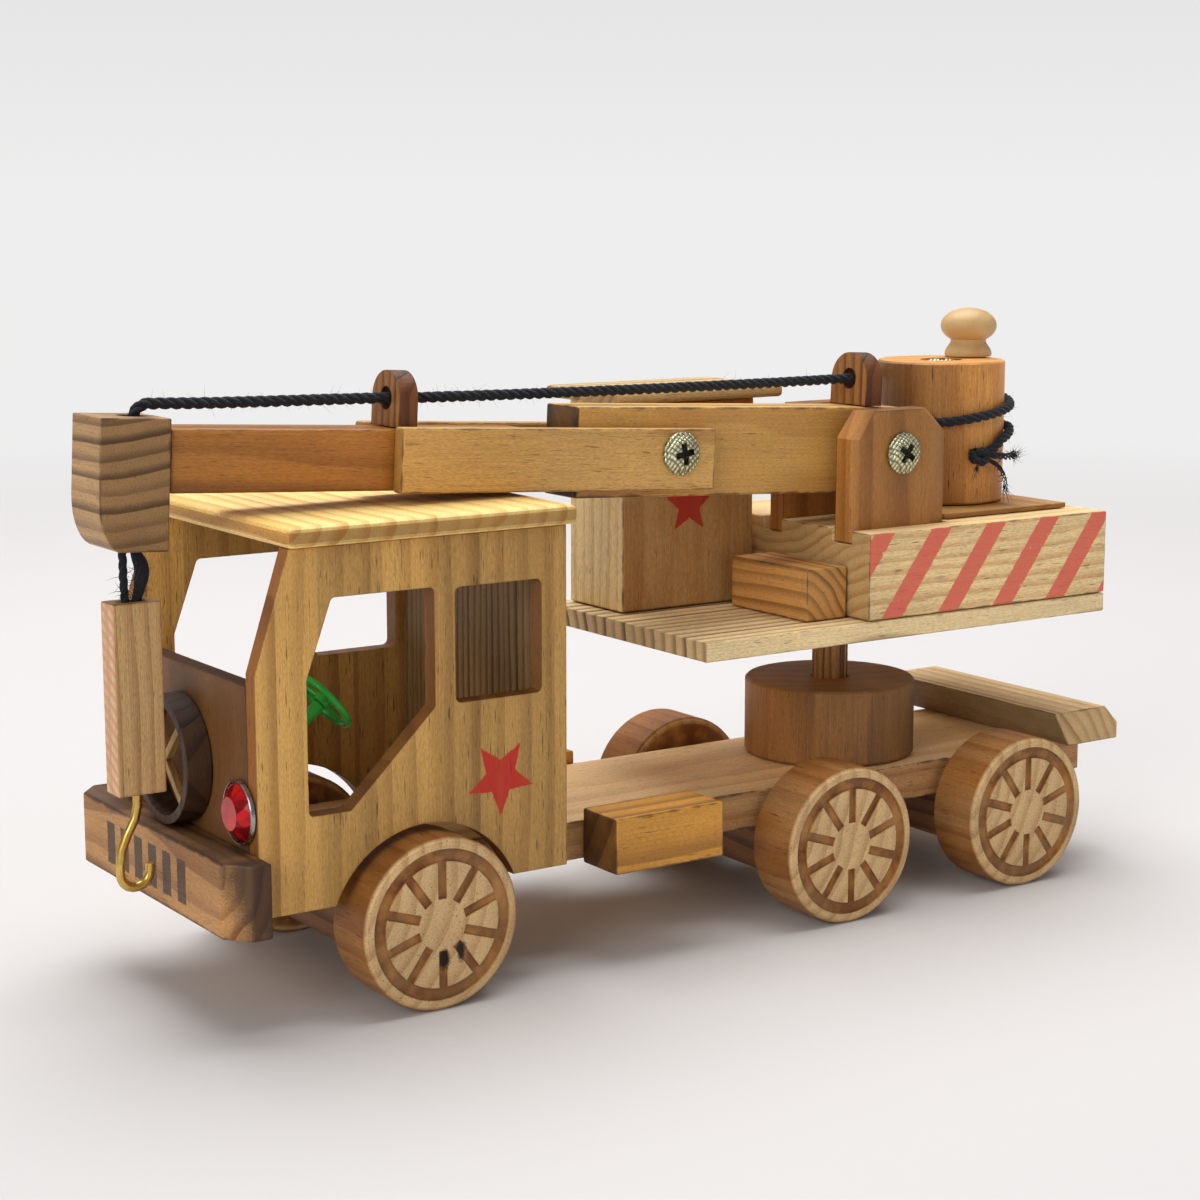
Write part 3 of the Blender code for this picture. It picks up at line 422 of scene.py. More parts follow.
def bandMask(tree, along, up, look, start=0.0):  # how far inside a slanted band, in millimetres
    lean = math.radians(look["lean"])
    shift = addNode(tree, "Math", {0: up, 1: -math.tan(lean), 2: start}, operation="MULTIPLY_ADD")
    slid = addNode(tree, "Math", {0: along, 1: shift}, operation="ADD")
    part = addNode(tree, "Math", {0: slid, 1: 1 / look["pitch"]}, operation="MULTIPLY")
    part = addNode(tree, "Math", {0: part}, operation="FRACT")
    part = addNode(tree, "Math", {0: part, 1: 0.5}, operation="SUBTRACT")
    part = addNode(tree, "Math", {0: part}, operation="ABSOLUTE")
    return addNode(tree, "Math", {0: part, 1: -look["pitch"], 2: look["band"] / 2}, operation="MULTIPLY_ADD")


def counterweightPaint(tree, wood):
    at = sized(tree, wood, hazard["middle"])
    mask = bandMask(tree, at.outputs[0], at.outputs[2], hazard, hazard["start"])
    # not inside the slots for the cheeks
    outer = addNode(tree, "Math", {0: at.outputs[1]}, operation="ABSOLUTE")
    outer = addNode(tree, "Math", {0: outer, 1: hazard["outer"]}, operation="SUBTRACT")
    mask = addNode(tree, "Math", {0: mask, 1: outer}, operation="MINIMUM")
    worn = addNode(tree, "TexNoise", {"Vector": wood["local"], "Scale": 0.55, "Detail": 2.0}).outputs[0]
    worn = addNode(tree, "MapRange", {0: worn, 1: 0.3, 2: 0.2, 4: 5.0})  # chipped spots about 2 mm across
    mask = addNode(tree, "Math", {0: mask, 1: worn}, operation="SUBTRACT")
    for facing in ((0, -1, 0), (0, 1, 0)):
        stamp(tree, wood, mask, hazard["red"], facing, 0.88)


def hookBlockPaint(tree, wood):
    at = sized(tree, wood, blockStripes["middle"])
    stamp(tree, wood, bandMask(tree, at.outputs[1], at.outputs[2], blockStripes), blockStripes["red"],
          (-1, 0, 0), 0.75)


def stencilPaint(tree, wood):  # plain marks with no meaning
    at = sized(tree, wood, stencil["middle"])
    bars = bandMask(tree, at.outputs[1], at.outputs[2], {**stencil, "lean": 0.0})
    tall = addNode(tree, "Math", {0: at.outputs[2]}, operation="ABSOLUTE")
    tall = addNode(tree, "Math", {0: stencil["tall"], 1: tall}, operation="SUBTRACT")
    wide = addNode(tree, "Math", {0: at.outputs[1]}, operation="ABSOLUTE")
    wide = addNode(tree, "Math", {0: stencil["span"], 1: wide}, operation="SUBTRACT")
    mask = addNode(tree, "Math", {0: tall, 1: wide}, operation="MINIMUM")
    mask = addNode(tree, "Math", {0: mask, 1: bars}, operation="MINIMUM")
    stamp(tree, wood, mask, stencil["ink"], (-1, 0, 0), 0.85)


# copies of round pieces, merged so that their turned faces shade smooth

def smoothCopy(node, body, angle=32.0):
    source = frame["nodes"][node]
    piece = bpy.data.objects.new(node + "_turned", source.data.copy())
    bpy.context.scene.collection.objects.link(piece)
    pick(piece)
    bpy.ops.object.mode_set(mode="EDIT")
    bpy.ops.mesh.select_all(action="SELECT")
    bpy.ops.mesh.remove_doubles(threshold=0.002 * mm)
    bpy.ops.object.mode_set(mode="OBJECT")
    if piece.data.has_custom_normals:
        bpy.ops.mesh.customdata_custom_splitnormals_clear()
    bpy.ops.object.shade_smooth_by_angle(angle=math.radians(angle))
    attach(piece, body)
    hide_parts(node)
    return piece


bodyOf = {node: body for body, nodes in frame["record"]["behaviour"]["bodies"].items() for node in nodes}


# the truck's boards and blocks

# painted shade with saw scorch: the cut and its tone darken the boards' edges
panel = {"grain": "Z", "early": "#cda05e", "late": "#a3763e", "ring": 6.5, "pith": (10, 160), "waver": 9,
         "board": 15.0, "boardTone": 0.2, "bend": (170, 18), "cut": (0, 1, 0), "cutTone": 0.36,
         "fleck": 0.85, "endTone": 0.75, "fibre": 0.24}
boards = {
    "cab_side_left": (panel, doorStarPaint(-1)),
    "cab_side_right": (panel, doorStarPaint(1)),
    # painted shade: the front panel takes darker colours than the side boards, for the shade under the roof,
    # over its own stain
    "cab_front_panel": ({**panel, "early": "#825730", "late": "#58371b", "cut": (1, 0, 0), "boardAxis": 1,
                         "board": 19.0}, None),
    "cab_back_panel": ({**panel, "early": "#a3845c", "late": "#4e3620", "cut": (1, 0, 0), "ring": 2.6,
                        "boardAxis": 1, "pith": (130, 20), "relief": 0.4, "board": 0.0}, None),
    "cab_roof": ({"grain": "Y", "early": "#ffe09c", "late": "#e2b060", "ring": 5.0, "pith": (90, 44),
                  "waver": 10, "endTone": 0.66, "fleck": 0.3, "cut": (0, 0, 1), "cutTone": 0.6,
                  "burnEdge": 0.3}, None),
    "chassis_board": ({"grain": "X", "early": "#f0cba0", "late": "#d6ab7f", "ring": 4.2, "pith": (30, 120),
                       "endTone": 0.6, "cut": (0, 0, 1), "cutTone": 0.55, "burnEdge": 1.0}, None),
    "front_bumper": ({"grain": "Y", "early": "#bd8c5a", "late": "#7d4d26", "ring": 3.6, "pith": (46, 20),
                      "waver": 9, "burnEnd": 7.0, "burnEdge": 1.5, "burnFace": (0, 0, 1),
                      "burnFaceShare": 0.8}, stencilPaint),
    "fuel_tank_left": ({"grain": "X", "early": "#d69a44", "late": "#925f28", "ring": 5.5, "pith": (50, 30),
                        "burnFace": (-1, 0, 0), "burnFaceShare": 0.8, "burnEdge": 0.9}, None),
    "tail_block": ({"grain": "Y", "early": "#d8ba90", "late": "#b08454", "ring": 3.4, "pith": (60, -40),
                    "endTone": 0.9, "burnFace": (-1, 0, 0), "burnFaceShare": 0.55, "burnEdge": 0.5}, None),
    "platform": ({"grain": "X", "early": "#f8deb4", "late": "#7a5230", "ring": 4.2, "pith": (80, -20),
                  "waver": 5, "endTone": 0.8, "burnEdge": 0.35}, None),
    # painted shade: the cut darkens its sides, for the boom's shadow on its near side
    "operator_cab": ({"grain": "Z", "early": "#fde2b0", "late": "#eac48c", "ring": 3.8, "pith": (60, 36),
                      "burnEdge": 0.6, "cut": (1, 0, 0), "cutTone": 0.45}, cabStarPaint),
    "operator_cab_roof": ({"grain": "X", "early": "#dcbd8e", "late": "#99713f", "ring": 3.2,
                           "pith": (40, 50), "burnEdge": 0.5}, None),
    "step_block": ({"grain": "Y", "early": "#d39d61", "late": "#8d5e30", "ring": 2.8, "pith": (24, -28),
                    "burnEdge": 0.6, "endTone": 0.9}, None),
    "counterweight": ({"grain": "X", "early": "#f4d6a8", "late": "#d6a876", "ring": 3.0, "pith": (12, 80),
                       "waver": 8, "bend": (60, 24), "endTone": 0.62, "burnEdge": 0.7}, counterweightPaint),
    "winch_plate": ({"grain": "Y", "early": "#b98a54", "late": "#8b5e31"}, None),
    "bracket_cheek_left": ({"grain": "Z", "early": "#ac753a", "late": "#915c29", "ring": 7.0,
                            "pith": (40, 30), "waver": 10, "fibre": 0.4, "blotch": 0.45, "burnEdge": 0.4,
                            "rough": 0.42}, None),
    "main_boom": ({"grain": "X", "tilt": 2.8, "early": "#e1b56c", "late": "#c28f4e", "ring": 8.0,
                   "pith": (-46, 14), "waver": 16, "bend": (60, 16), "cut": (0, 0, 1), "cutTone": 0.74,
                   "burnFace": (-1, 0, 0), "burnFaceShare": 0.9, "burnEdge": 1.1, "rough": 0.42}, None),
    "jib_cheek_left": ({"grain": "X", "tilt": 3.2, "early": "#cfa262", "late": "#b2834a", "ring": 6.5,
                        "pith": (-60, 16), "waver": 10, "burnEdge": 0.8, "rough": 0.45}, None),
    "jib_stick": ({"grain": "X", "tilt": 3.2, "early": "#b07434", "late": "#82501e", "ring": 4.0,
                   "pith": (40, 22), "fleck": 0.7, "rough": 0.36, "burnEdge": 0.6}, None),
    "tip_block": ({"grain": "Y", "early": "#bd976f", "late": "#664832", "ring": 3.8, "pith": (4, 70),
                   "waver": 3, "endTone": 0.66, "fibre": 0.45, "blotch": 0.4, "burnEdge": 1.3,
                   "relief": 0.3}, None),
    "hook_block": ({"grain": "Z", "early": "#e4c498", "late": "#b98f62", "ring": 2.6, "pith": (30, 50),
                    "burnEdge": 0.3, "cut": (1, 0, 0), "cutTone": 0.72}, hookBlockPaint),
    "front_eyelet": ({"grain": "Z", "early": "#a06c38", "late": "#5d3820", "ring": 2.4, "pith": (30, 20),
                      "burnEdge": 0.5, "cut": (1, 0, 0), "cutTone": 0.45}, None),
    "axle_block": ({"grain": "Y", "early": "#94643a", "late": "#5f3b20", "ring": 3.4, "pith": (30, 30)},
                   None),
}
sameBoard = {"fuel_tank_right": "fuel_tank_left", "bracket_cheek_right": "bracket_cheek_left",
             "jib_cheek_right": "jib_cheek_left", "rear_eyelet": "front_eyelet",
             "front_axle_block": "axle_block",
             "middle_axle_block": "axle_block", "rear_axle_block": "axle_block"}

for node, piece in frame["nodes"].items():
    chosen = sameBoard.get(node, node)
    if chosen in boards:
        sawnMaterial(piece, *boards[chosen])
print("boards oiled")


# turned pieces: wheels, drums, knob, dowels and ring

wheel = {"radius": 20.0, "face": 43.4, "front": -77.0, "middle": 42.1, "rear": 102.5, "light": "#dcb98e",
         "lightLate": "#c2986c", "stain": "#b57c3c", "pooled": "#7d4a20", "tread": "#b98f55",
         "smut": "#4a2c18", "scorch": "#2a1b12", "burns": ((0.4, -8.2, 2.0), (4.9, -7.0, 1.9))}


def wheelMaterial(piece, centreX, scorched):
    look = {**pine, "grain": "Y", "early": wheel["light"], "late": wheel["lightLate"], "ring": 4.5,
            "pith": (40, 18), "waver": 6,
            "endTone": 1.0, "fleck": 0.8, "blotch": 0.3, "fibre": 0.42, "rounding": 0.3, "relief": 0.1}
    # sanded face, stained grooves
    material, tree, shader = newMaterial("turnedBeech_" + piece.name, {"IOR": 1.5})
    wood = growWood(tree, piece, look)
    at = sized(tree, wood, (centreX, 0, wheel["radius"]))
    flat = addNode(tree, "CombineXYZ", {0: at.outputs[0], 1: at.outputs[2]})
    out = addNode(tree, "VectorMath", {0: flat}, operation="LENGTH")
    away = addNode(tree, "Math", {0: at.outputs[1]}, operation="ABSOLUTE")
    deep = addNode(tree, "Math", {0: wheel["face"], 1: away}, operation="SUBTRACT")
    inside = addNode(tree, "MapRange", {0: out, 1: 0.94 * wheel["radius"], 2: 0.9 * wheel["radius"]})
    groove = addNode(tree, "MapRange", {0: deep, 1: 0.08, 2: 0.35})
    groove = addNode(tree, "Math", {0: groove, 1: inside}, operation="MULTIPLY")
    streak = addNode(tree, "Math", {0: wood["cloud"], 1: 0.9, 2: 0.45}, operation="MULTIPLY_ADD",
                     use_clamp=True)
    groove = addNode(tree, "Math", {0: groove, 1: streak}, operation="MULTIPLY")
    pooled = addNode(tree, "TexNoise", {"Vector": wood["local"], "Scale": 0.22, "Detail": 3.0}).outputs[0]
    pooled = addNode(tree, "MapRange", {0: pooled, 1: 0.35, 2: 0.62})  # stain pools in the carving
    stain = addNode(tree, "Mix", {0: pooled, 6: linearColour(wheel["stain"]),
                                  7: linearColour(wheel["pooled"])}, data_type="RGBA")
    wood["colour"] = addNode(tree, "Mix", {0: groove, 6: wood["colour"], 7: stain}, data_type="RGBA")
    ring = addNode(tree, "MapRange", {0: out, 1: 0.955 * wheel["radius"], 2: 0.99 * wheel["radius"]})
    behind = addNode(tree, "MapRange", {0: deep, 1: 0.2, 2: 0.9})
    tread = addNode(tree, "Math", {0: ring, 1: behind}, operation="MULTIPLY")
    tread = addNode(tree, "Math", {0: tread, 1: streak}, operation="MULTIPLY")
    brown = addNode(tree, "Mix", {0: 1.0, 6: wood["colour"], 7: linearColour(wheel["tread"])},
                    data_type="RGBA", blend_type="MULTIPLY")
    wood["colour"] = addNode(tree, "Mix", {0: tread, 6: wood["colour"], 7: brown}, data_type="RGBA")
    smut = addNode(tree, "MapRange", {0: wood["cloud"], 1: 0.52, 2: 0.68, 4: 0.42})
    smut = addNode(tree, "Math", {0: smut, 1: tread}, operation="MULTIPLY")
    wood["colour"] = addNode(tree, "Mix", {0: smut, 6: wood["colour"], 7: linearColour(wheel["smut"])},
                             data_type="RGBA")
    if scorched:  # two small burns low on the hub of the front wheel
        for x, z, size in wheel["burns"]:
            gone = addNode(tree, "VectorMath", {0: flat, 1: (x, z, 0)}, operation="SUBTRACT")
            gone = addNode(tree, "VectorMath", {0: gone, 1: (1.5, 0.75, 1)}, operation="MULTIPLY")
            gone = addNode(tree, "VectorMath", {0: gone}, operation="LENGTH")
            gone = addNode(tree, "Math", {0: wood["fibre"], 1: 2.0, 2: gone}, operation="MULTIPLY_ADD")
            gone = addNode(tree, "MapRange", {0: gone, 1: size + 1.3, 2: size + 0.3})
            wood["colour"] = addNode(tree, "Mix", {0: gone, 6: wood["colour"],
                                                   7: linearColour(wheel["scorch"])}, data_type="RGBA")
    finishWood(tree, shader, wood)
    coat(piece, material)


for axle in ("front", "middle", "rear"):
    for side in ("left", "right"):
        node = f"{axle}_wheel_{side}"
        wheelMaterial(smoothCopy(node, f"{axle}_wheels"), wheel[axle], node == "front_wheel_left")

# painted light and shade: the two drums are coloured lighter on one side and darker on the other
turned = {
    "winch_drum": {"grain": "Z", "early": "#d2924e", "late": "#b97b3c", "ring": 7.0, "pith": (60, -8),
                   "waver": 6, "fibre": 0.5, "fleck": 1.0, "blotch": 0.4, "endTone": 1.3, "rough": 0.45,
                   "sweep": ((0.95, -0.3, 0), 0.6)},
    "turntable_drum": {"grain": "Z", "early": "#8c6238", "late": "#7a522c", "ring": 7.0, "pith": (70, -30),
                       "endTone": 1.2, "fibre": 0.5, "blotch": 0.7, "fleck": 0.8, "sweep": ((-0.9, -0.3, 0),
                                                                                            0.5)},
    "turntable_post": {"grain": "Z", "early": "#c0925e", "late": "#6b4526", "ring": 1.7, "pith": (20, 9),
                       "relief": 0.4},
    # the ring's near-black browns are partly its own dark wood and partly painted shade, for the shade it
    # sits in
    "grille_ring": {"grain": "Z", "early": "#49301f", "late": "#27180f", "ring": 2.6, "pith": (30, 10)},
    **{axle + "_axle": {"grain": "Y", "early": "#c79a66", "late": "#9c6f3f"}
       for axle in ("front", "middle", "rear")},
    "grille_bars": {"grain": "Z", "early": "#cfa76d", "late": "#9c6f3f"},
}
for node, look in turned.items():
    sawnMaterial(smoothCopy(node, bodyOf[node]), look)
print("turned pieces done")


# screws: pressed steel, yellow zinc plated, with a rolled cross-hatch on the flange

zinc = {"bright": "#e6e3c4", "dull": "#75734a", "pitch": 1.5}


def zincMaterial():
    # thin chromate film: pale, slightly green
    material, tree, shader = newMaterial("yellowZincSteel", {"Metallic": 1.0})
    where = addNode(tree, "TexCoord").outputs["Object"]
    apart = addNode(tree, "SeparateXYZ", {0: addNode(tree, "Mapping",
                                                     {"Vector": where, "Scale": (1000, 1000, 1000)})})
    ridges = []
    for sign in (1, -1):
        slant = addNode(tree, "Math", {0: apart.outputs[0], 1: sign, 2: apart.outputs[2]},
                        operation="MULTIPLY_ADD")
        slant = addNode(tree, "Math", {0: slant, 1: apart.outputs[1]}, operation="ADD")
        slant = addNode(tree, "Math", {0: slant, 1: math.pi / zinc["pitch"]}, operation="MULTIPLY")
        slant = addNode(tree, "Math", {0: slant}, operation="SINE")
        ridges.append(addNode(tree, "Math", {0: slant}, operation="ABSOLUTE"))
    knurl = addNode(tree, "Math", {0: ridges[0], 1: ridges[1]}, operation="MULTIPLY")
    cloud = addNode(tree, "TexNoise", {"Vector": where, "Scale": 900.0, "Detail": 3.0}).outputs[0]
    dull = addNode(tree, "Math", {0: knurl, 1: -1.3, 2: 0.75}, operation="MULTIPLY_ADD")
    dull = addNode(tree, "Math", {0: cloud, 1: 0.5, 2: dull}, operation="MULTIPLY_ADD", use_clamp=True)
    colour = addNode(tree, "Mix", {0: dull, 6: linearColour(zinc["bright"]), 7: linearColour(zinc["dull"])},
                     data_type="RGBA")
    rough = addNode(tree, "MapRange", {0: cloud, 1: 0.3, 2: 0.7, 3: 0.28, 4: 0.5})
    bump = addNode(tree, "Bump", {"Height": knurl, "Strength": 0.9, "Distance": 0.25 * mm})
    feed(tree, shader, {"Base Color": colour, "Roughness": rough, "Normal": bump})
    return material


brass = {"bright": "#e2c372", "dull": "#b98f3e"}


def brassMaterial():
    # drawn wire, so its shine runs along it
    material, tree, shader = newMaterial("brassWire", {"Metallic": 1.0})
    where = addNode(tree, "TexCoord").outputs["Object"]
    haze = addNode(tree, "TexNoise", {"Vector": where, "Scale": 400.0, "Detail": 3.0}).outputs[0]
    colour = addNode(tree, "Mix", {0: haze, 6: linearColour(brass["bright"]),
                                   7: linearColour(brass["dull"])}, data_type="RGBA")
    rough = addNode(tree, "MapRange", {0: haze, 1: 0.3, 2: 0.7, 3: 0.2, 4: 0.38})
    feed(tree, shader, {"Base Color": colour, "Roughness": rough})
    return material


coat(smoothCopy("hook", "hook", 60.0), brassMaterial())

green = {"light": "#3fc64a", "deep": "#27a638", "glow": 0.15, "glowDepth": (0.0004, 0.001, 0.0004)}


def greenPlastic():
    # bright dye, slightly waxy gloss
    material, tree, shader = newMaterial("mouldedPolypropylene", {"IOR": 1.49})
    where = addNode(tree, "TexCoord").outputs["Object"]
    haze = addNode(tree, "TexNoise", {"Vector": where, "Scale": 300.0, "Detail": 2.0}).outputs[0]
    colour = addNode(tree, "Mix", {0: haze, 6: linearColour(green["light"]),
                                   7: linearColour(green["deep"])}, data_type="RGBA")
    rough = addNode(tree, "MapRange", {0: haze, 1: 0.3, 2: 0.7, 3: 0.28, 4: 0.4})
    feed(tree, shader, {"Base Color": colour, "Roughness": rough})
    shader.inputs["Subsurface Weight"].default_value = green["glow"]
    shader.inputs["Subsurface Radius"].default_value = green["glowDepth"]
    return material


plastic = greenPlastic()
for node in ("steering_wheel", "steering_column"):
    coat(smoothCopy(node, bodyOf[node], 50.0), plastic)
print("metal and plastic done")

# pieces turned up from a disc: each step is an extrusion and a change of width

# steps are radius and height; the piece stands at the middle of the floor
def turnUp(name, sides, steps, twist=0.0):
    bpy.ops.object.select_all(action="DESELECT")
    (first, base), rest = steps[0], steps[1:]
    bpy.ops.mesh.primitive_circle_add(vertices=sides, radius=first * mm, fill_type="NGON",
                                      location=(0, 0, base * mm))
    piece = bpy.context.object
    piece.name = piece.data.name = name
    bpy.ops.object.mode_set(mode="EDIT")
    bpy.ops.mesh.select_all(action="SELECT")
    width, height = first, base
    for r, z in rest:
        bpy.ops.mesh.extrude_region_move(TRANSFORM_OT_translate={"value": (0, 0, (z - height) * mm)})
        bpy.ops.transform.resize(value=(r / width, r / width, 1.0))
        if twist:
            bpy.ops.transform.rotate(value=twist, orient_axis="Z", center_override=(0, 0, z * mm))
        width, height = r, z
    bpy.ops.mesh.select_all(action="SELECT")
    bpy.ops.mesh.normals_make_consistent(inside=False)
    bpy.ops.object.mode_set(mode="OBJECT")
    return piece


def applyAll(piece):  # every modifier becomes mesh
    pick(piece)
    for modifier in list(piece.modifiers):
        bpy.ops.object.modifier_apply(modifier=modifier.name)


def placed(piece, matrix):  # the mesh takes the place, and the object stays at the origin
    bpy.context.view_layer.update()
    piece.data.transform(matrix @ piece.matrix_world)
    piece.matrix_world = Matrix.Identity(4)
    return piece


knob = {"radius": 7.7, "ballHalf": 4.9, "sides": 48,
        "foot": [(0.2, 0.0), (6.3, 0.0), (6.5, 0.5), (6.4, 1.3), (6.0, 2.2), (5.4, 3.0), (5.0, 3.6),
                 (4.85, 4.1)],
        "look": {"grain": "Z", "early": "#c8a87b", "late": "#c2a073", "ring": 9.0, "pith": (20, 6),
                 "fleck": 0.1, "endTone": 1.0, "rough": 0.38, "blotch": 0.15, "rounding": 0.2, "relief": 0.03,
                 "fibre": 0.12, "pores": 0.05}}


def makeKnob():
    low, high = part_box("winch_knob")
    r, tall = knob["radius"], (high.z - low.z) / mm
    ball = [(r * math.cos(a), tall + knob["ballHalf"] * (math.sin(a) - 1))
            for a in [math.radians(d) for d in range(-50, 88, 6)]]
    piece = turnUp("turned_knob", knob["sides"], knob["foot"] + ball + [(0.1, tall)])
    placed(piece, Matrix.Translation(((low.x + high.x) / 2, (low.y + high.y) / 2, low.z)))
    bpy.ops.object.shade_smooth_by_angle(angle=math.radians(40))
    sawnMaterial(piece, knob["look"])
    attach(piece, "winch")
    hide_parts("winch_knob")


makeKnob()

# the recess colours are painted shade inside the pressed cross
screw = {"across": 10.6, "rise": 1.9, "crossHalf": 0.8, "crossReach": 2.7, "crossDeep": 1.35, "sides": 64,
         "flange": [(0.25, 0.0), (0.0, 0.2), (0.0, 0.5), (0.25, 0.72), (0.75, 0.8)],  # inset and height
         "dome": [(0.95, 1.0), (1.4, 1.4), (2.2, 1.72), (3.4, 1.88)],
         "recessShade": "#0c0b09", "steel": "#3a3626"}


def recessMaterial():
    # painted shade: the pressed cross is coloured near black for the shadow inside it, over dark oxidised
    # steel
    material, tree, shader = newMaterial("pressedRecess", {"Metallic": 0.6, "Roughness": 0.6})
    where = addNode(tree, "TexCoord").outputs["Object"]
    recessShade = addNode(tree, "TexNoise", {"Vector": where, "Scale": 900.0, "Detail": 3.0}).outputs[0]
    colour = addNode(tree, "Mix", {0: recessShade, 6: linearColour(screw["recessShade"]),
                                   7: linearColour(screw["steel"])}, data_type="RGBA")
    feed(tree, shader, {"Base Color": colour})
    return material


def makeScrew():  # a flange, a low dome and a cross pressed into it, lying face up at the middle of the floor
    r = screw["across"] / 2
    steps = [(r - inset, height) for inset, height in screw["flange"] + screw["dome"]]
    piece = turnUp("screw_head", screw["sides"], steps + [(0.2, screw["rise"])])
    for turned in (45, 135):
        bpy.ops.object.select_all(action="DESELECT")
        size = (screw["crossReach"] * 2 * mm, screw["crossHalf"] * 2 * mm, screw["crossDeep"] * 2 * mm)
        bpy.ops.mesh.primitive_cube_add(size=1, location=(0, 0, screw["rise"] * mm),
                                        rotation=(0, 0, math.radians(turned)), scale=size)
        punch = bpy.context.object
        cut = piece.modifiers.new("cross", "BOOLEAN")
        cut.operation = "DIFFERENCE"
        cut.object = punch
        applyAll(piece)
        bpy.data.objects.remove(punch)
    pick(piece)
    bpy.ops.object.shade_smooth_by_angle(angle=math.radians(28))
    piece.data.materials.append(zincMaterial())
    piece.data.materials.append(recessMaterial())
    for face in piece.data.polygons:  # what lies lower than the dome, near the middle, is the cross, which takes the painted shade
        near = Vector(face.center[:2]).length < (screw["crossReach"] + 0.3) * mm
        low = face.center.z < (screw["rise"] - 0.35) * mm and face.center.z > 0.1 * mm
        face.material_index = 1 if near and low else 0
    return piece


def placeScrews():
    head = makeScrew()
    turns = {"left": Matrix.Rotation(math.pi / 2, 4, "X"), "right": Matrix.Rotation(-math.pi / 2, 4, "X"),
             "up": Matrix()}
    for number, node in enumerate(("bracket_screw_left", "bracket_screw_right",
                                   "jib_screw_left", "jib_screw_right", "winch_screw")):
        low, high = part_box(node)
        side = node.rsplit("_", 1)[1] if node != "winch_screw" else "up"
        axis = {"left": 1, "right": 1, "up": 2}[side]
        centre = (low + high) / 2
        centre[axis] = low[axis] + screw["rise"] * mm if side == "left" else high[axis] - screw["rise"] * mm
        piece = bpy.data.objects.new(node + "_head", head.data.copy())
        bpy.context.scene.collection.objects.link(piece)
        spin = Matrix.Rotation(math.radians(11 + 67 * number), 4, "Z")
        placed(piece, Matrix.Translation(centre) @ turns[side] @ spin)
        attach(piece, bodyOf[node])
        shank = smoothCopy(node, bodyOf[node])
        keepBelow(shank, axis, centre[axis], side == "left")
        coat(shank, head.data.materials[0])
    bpy.data.objects.remove(head)


def keepBelow(piece, axis, level, fromAbove):  # cuts the old head off a screw, so that only its shank is left
    normal = [0.0, 0.0, 0.0]
    normal[axis] = 1.0
    at = [0.0, 0.0, 0.0]
    at[axis] = level
    pick(piece)
    bpy.ops.object.mode_set(mode="EDIT")
    bpy.ops.mesh.select_all(action="SELECT")
    bpy.ops.mesh.bisect(plane_co=at, plane_no=normal, use_fill=True, clear_inner=fromAbove,
                        clear_outer=not fromAbove)
    bpy.ops.object.mode_set(mode="OBJECT")


placeScrews()

gem = {"sides": 16, "radius": 6.7, "deep": "#6e0510", "bright": "#d00a14",
       "facets": [(1.0, 0.35), (1.0, 0.9), (0.82, 1.9), (0.58, 3.0), (0.56, 3.1)]}  # share of radius, height
tin = {"sides": 48, "radius": 7.15, "dark": "#6e6a68", "bright": "#c9c6c4",
       "steps": [(0.715, 0.0), (0.0, 0.2), (0.0, 1.0), (0.2, 1.2), (0.35, 1.1), (0.4, 0.3)]}  # inset, height


def gemMaterial():
    look = {"Metallic": 0.35, "Roughness": 0.16, "Coat Weight": 0.15, "Specular IOR Level": 0.3}
    material, tree, shader = newMaterial("foilBackedAcrylic", look)
    # painted reflection: each facet is coloured with its own share of bright red by the way it faces, as foil
    # behind a cut stone throws back light
    where = addNode(tree, "TexCoord")
    facetReflection = addNode(tree, "VectorMath", {0: where.outputs["Normal"], 1: (2.3, 5.7, 9.1)},
                    operation="DOT_PRODUCT")
    facetReflection = addNode(tree, "Math", {0: facetReflection}, operation="FRACT")
    cloud = addNode(tree, "TexNoise", {"Vector": where.outputs["Object"], "Scale": 260.0,
                                       "Detail": 1.0}).outputs[0]
    share = addNode(tree, "Math", {0: facetReflection, 1: cloud}, operation="MULTIPLY")
    share = addNode(tree, "MapRange", {0: share, 1: 0.05, 2: 0.5})
    colour = addNode(tree, "Mix", {0: share, 6: linearColour(gem["deep"]), 7: linearColour(gem["bright"])},
                     data_type="RGBA")
    feed(tree, shader, {"Base Color": colour})
    return material


def rimMaterial():
    # thin bright cup, dulled where it was pressed
    material, tree, shader = newMaterial("pressedTin", {"Metallic": 1.0})
    where = addNode(tree, "TexCoord").outputs["Object"]
    haze = addNode(tree, "TexNoise", {"Vector": where, "Scale": 700.0, "Detail": 3.0}).outputs[0]
    colour = addNode(tree, "Mix", {0: haze, 6: linearColour(tin["dark"]), 7: linearColour(tin["bright"])},
                     data_type="RGBA")
    rough = addNode(tree, "MapRange", {0: haze, 1: 0.3, 2: 0.7, 3: 0.2, 4: 0.4})
    feed(tree, shader, {"Base Color": colour, "Roughness": rough})
    return material


def makeLamps():
    red, bright = gemMaterial(), rimMaterial()
    for side in ("left", "right"):
        node = "headlamp_" + side
        low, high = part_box(node)
        at = (high.x, (low.y + high.y) / 2, (low.z + high.z) / 2)
        back = Matrix.Translation(at) @ Matrix.Rotation(-math.pi / 2, 4, "Y")
        steps = [(gem["radius"] * share, height) for share, height in gem["facets"]]
        stone = turnUp(side + "_lamp_stone", gem["sides"], steps, math.pi / gem["sides"])
        placed(stone, back)
        coat(stone, red)
        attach(stone, "truck")
        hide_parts(node)
        steps = [(tin["radius"] - inset, height) for inset, height in tin["steps"]]
        cup = turnUp(side + "_lamp_rim", tin["sides"], steps + [(0.2, 0.3)])
        placed(cup, back)
        coat(cup, bright)
        bpy.ops.object.shade_smooth_by_angle(angle=math.radians(40))
        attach(cup, "truck")


makeLamps()
print("knob and lamps done")


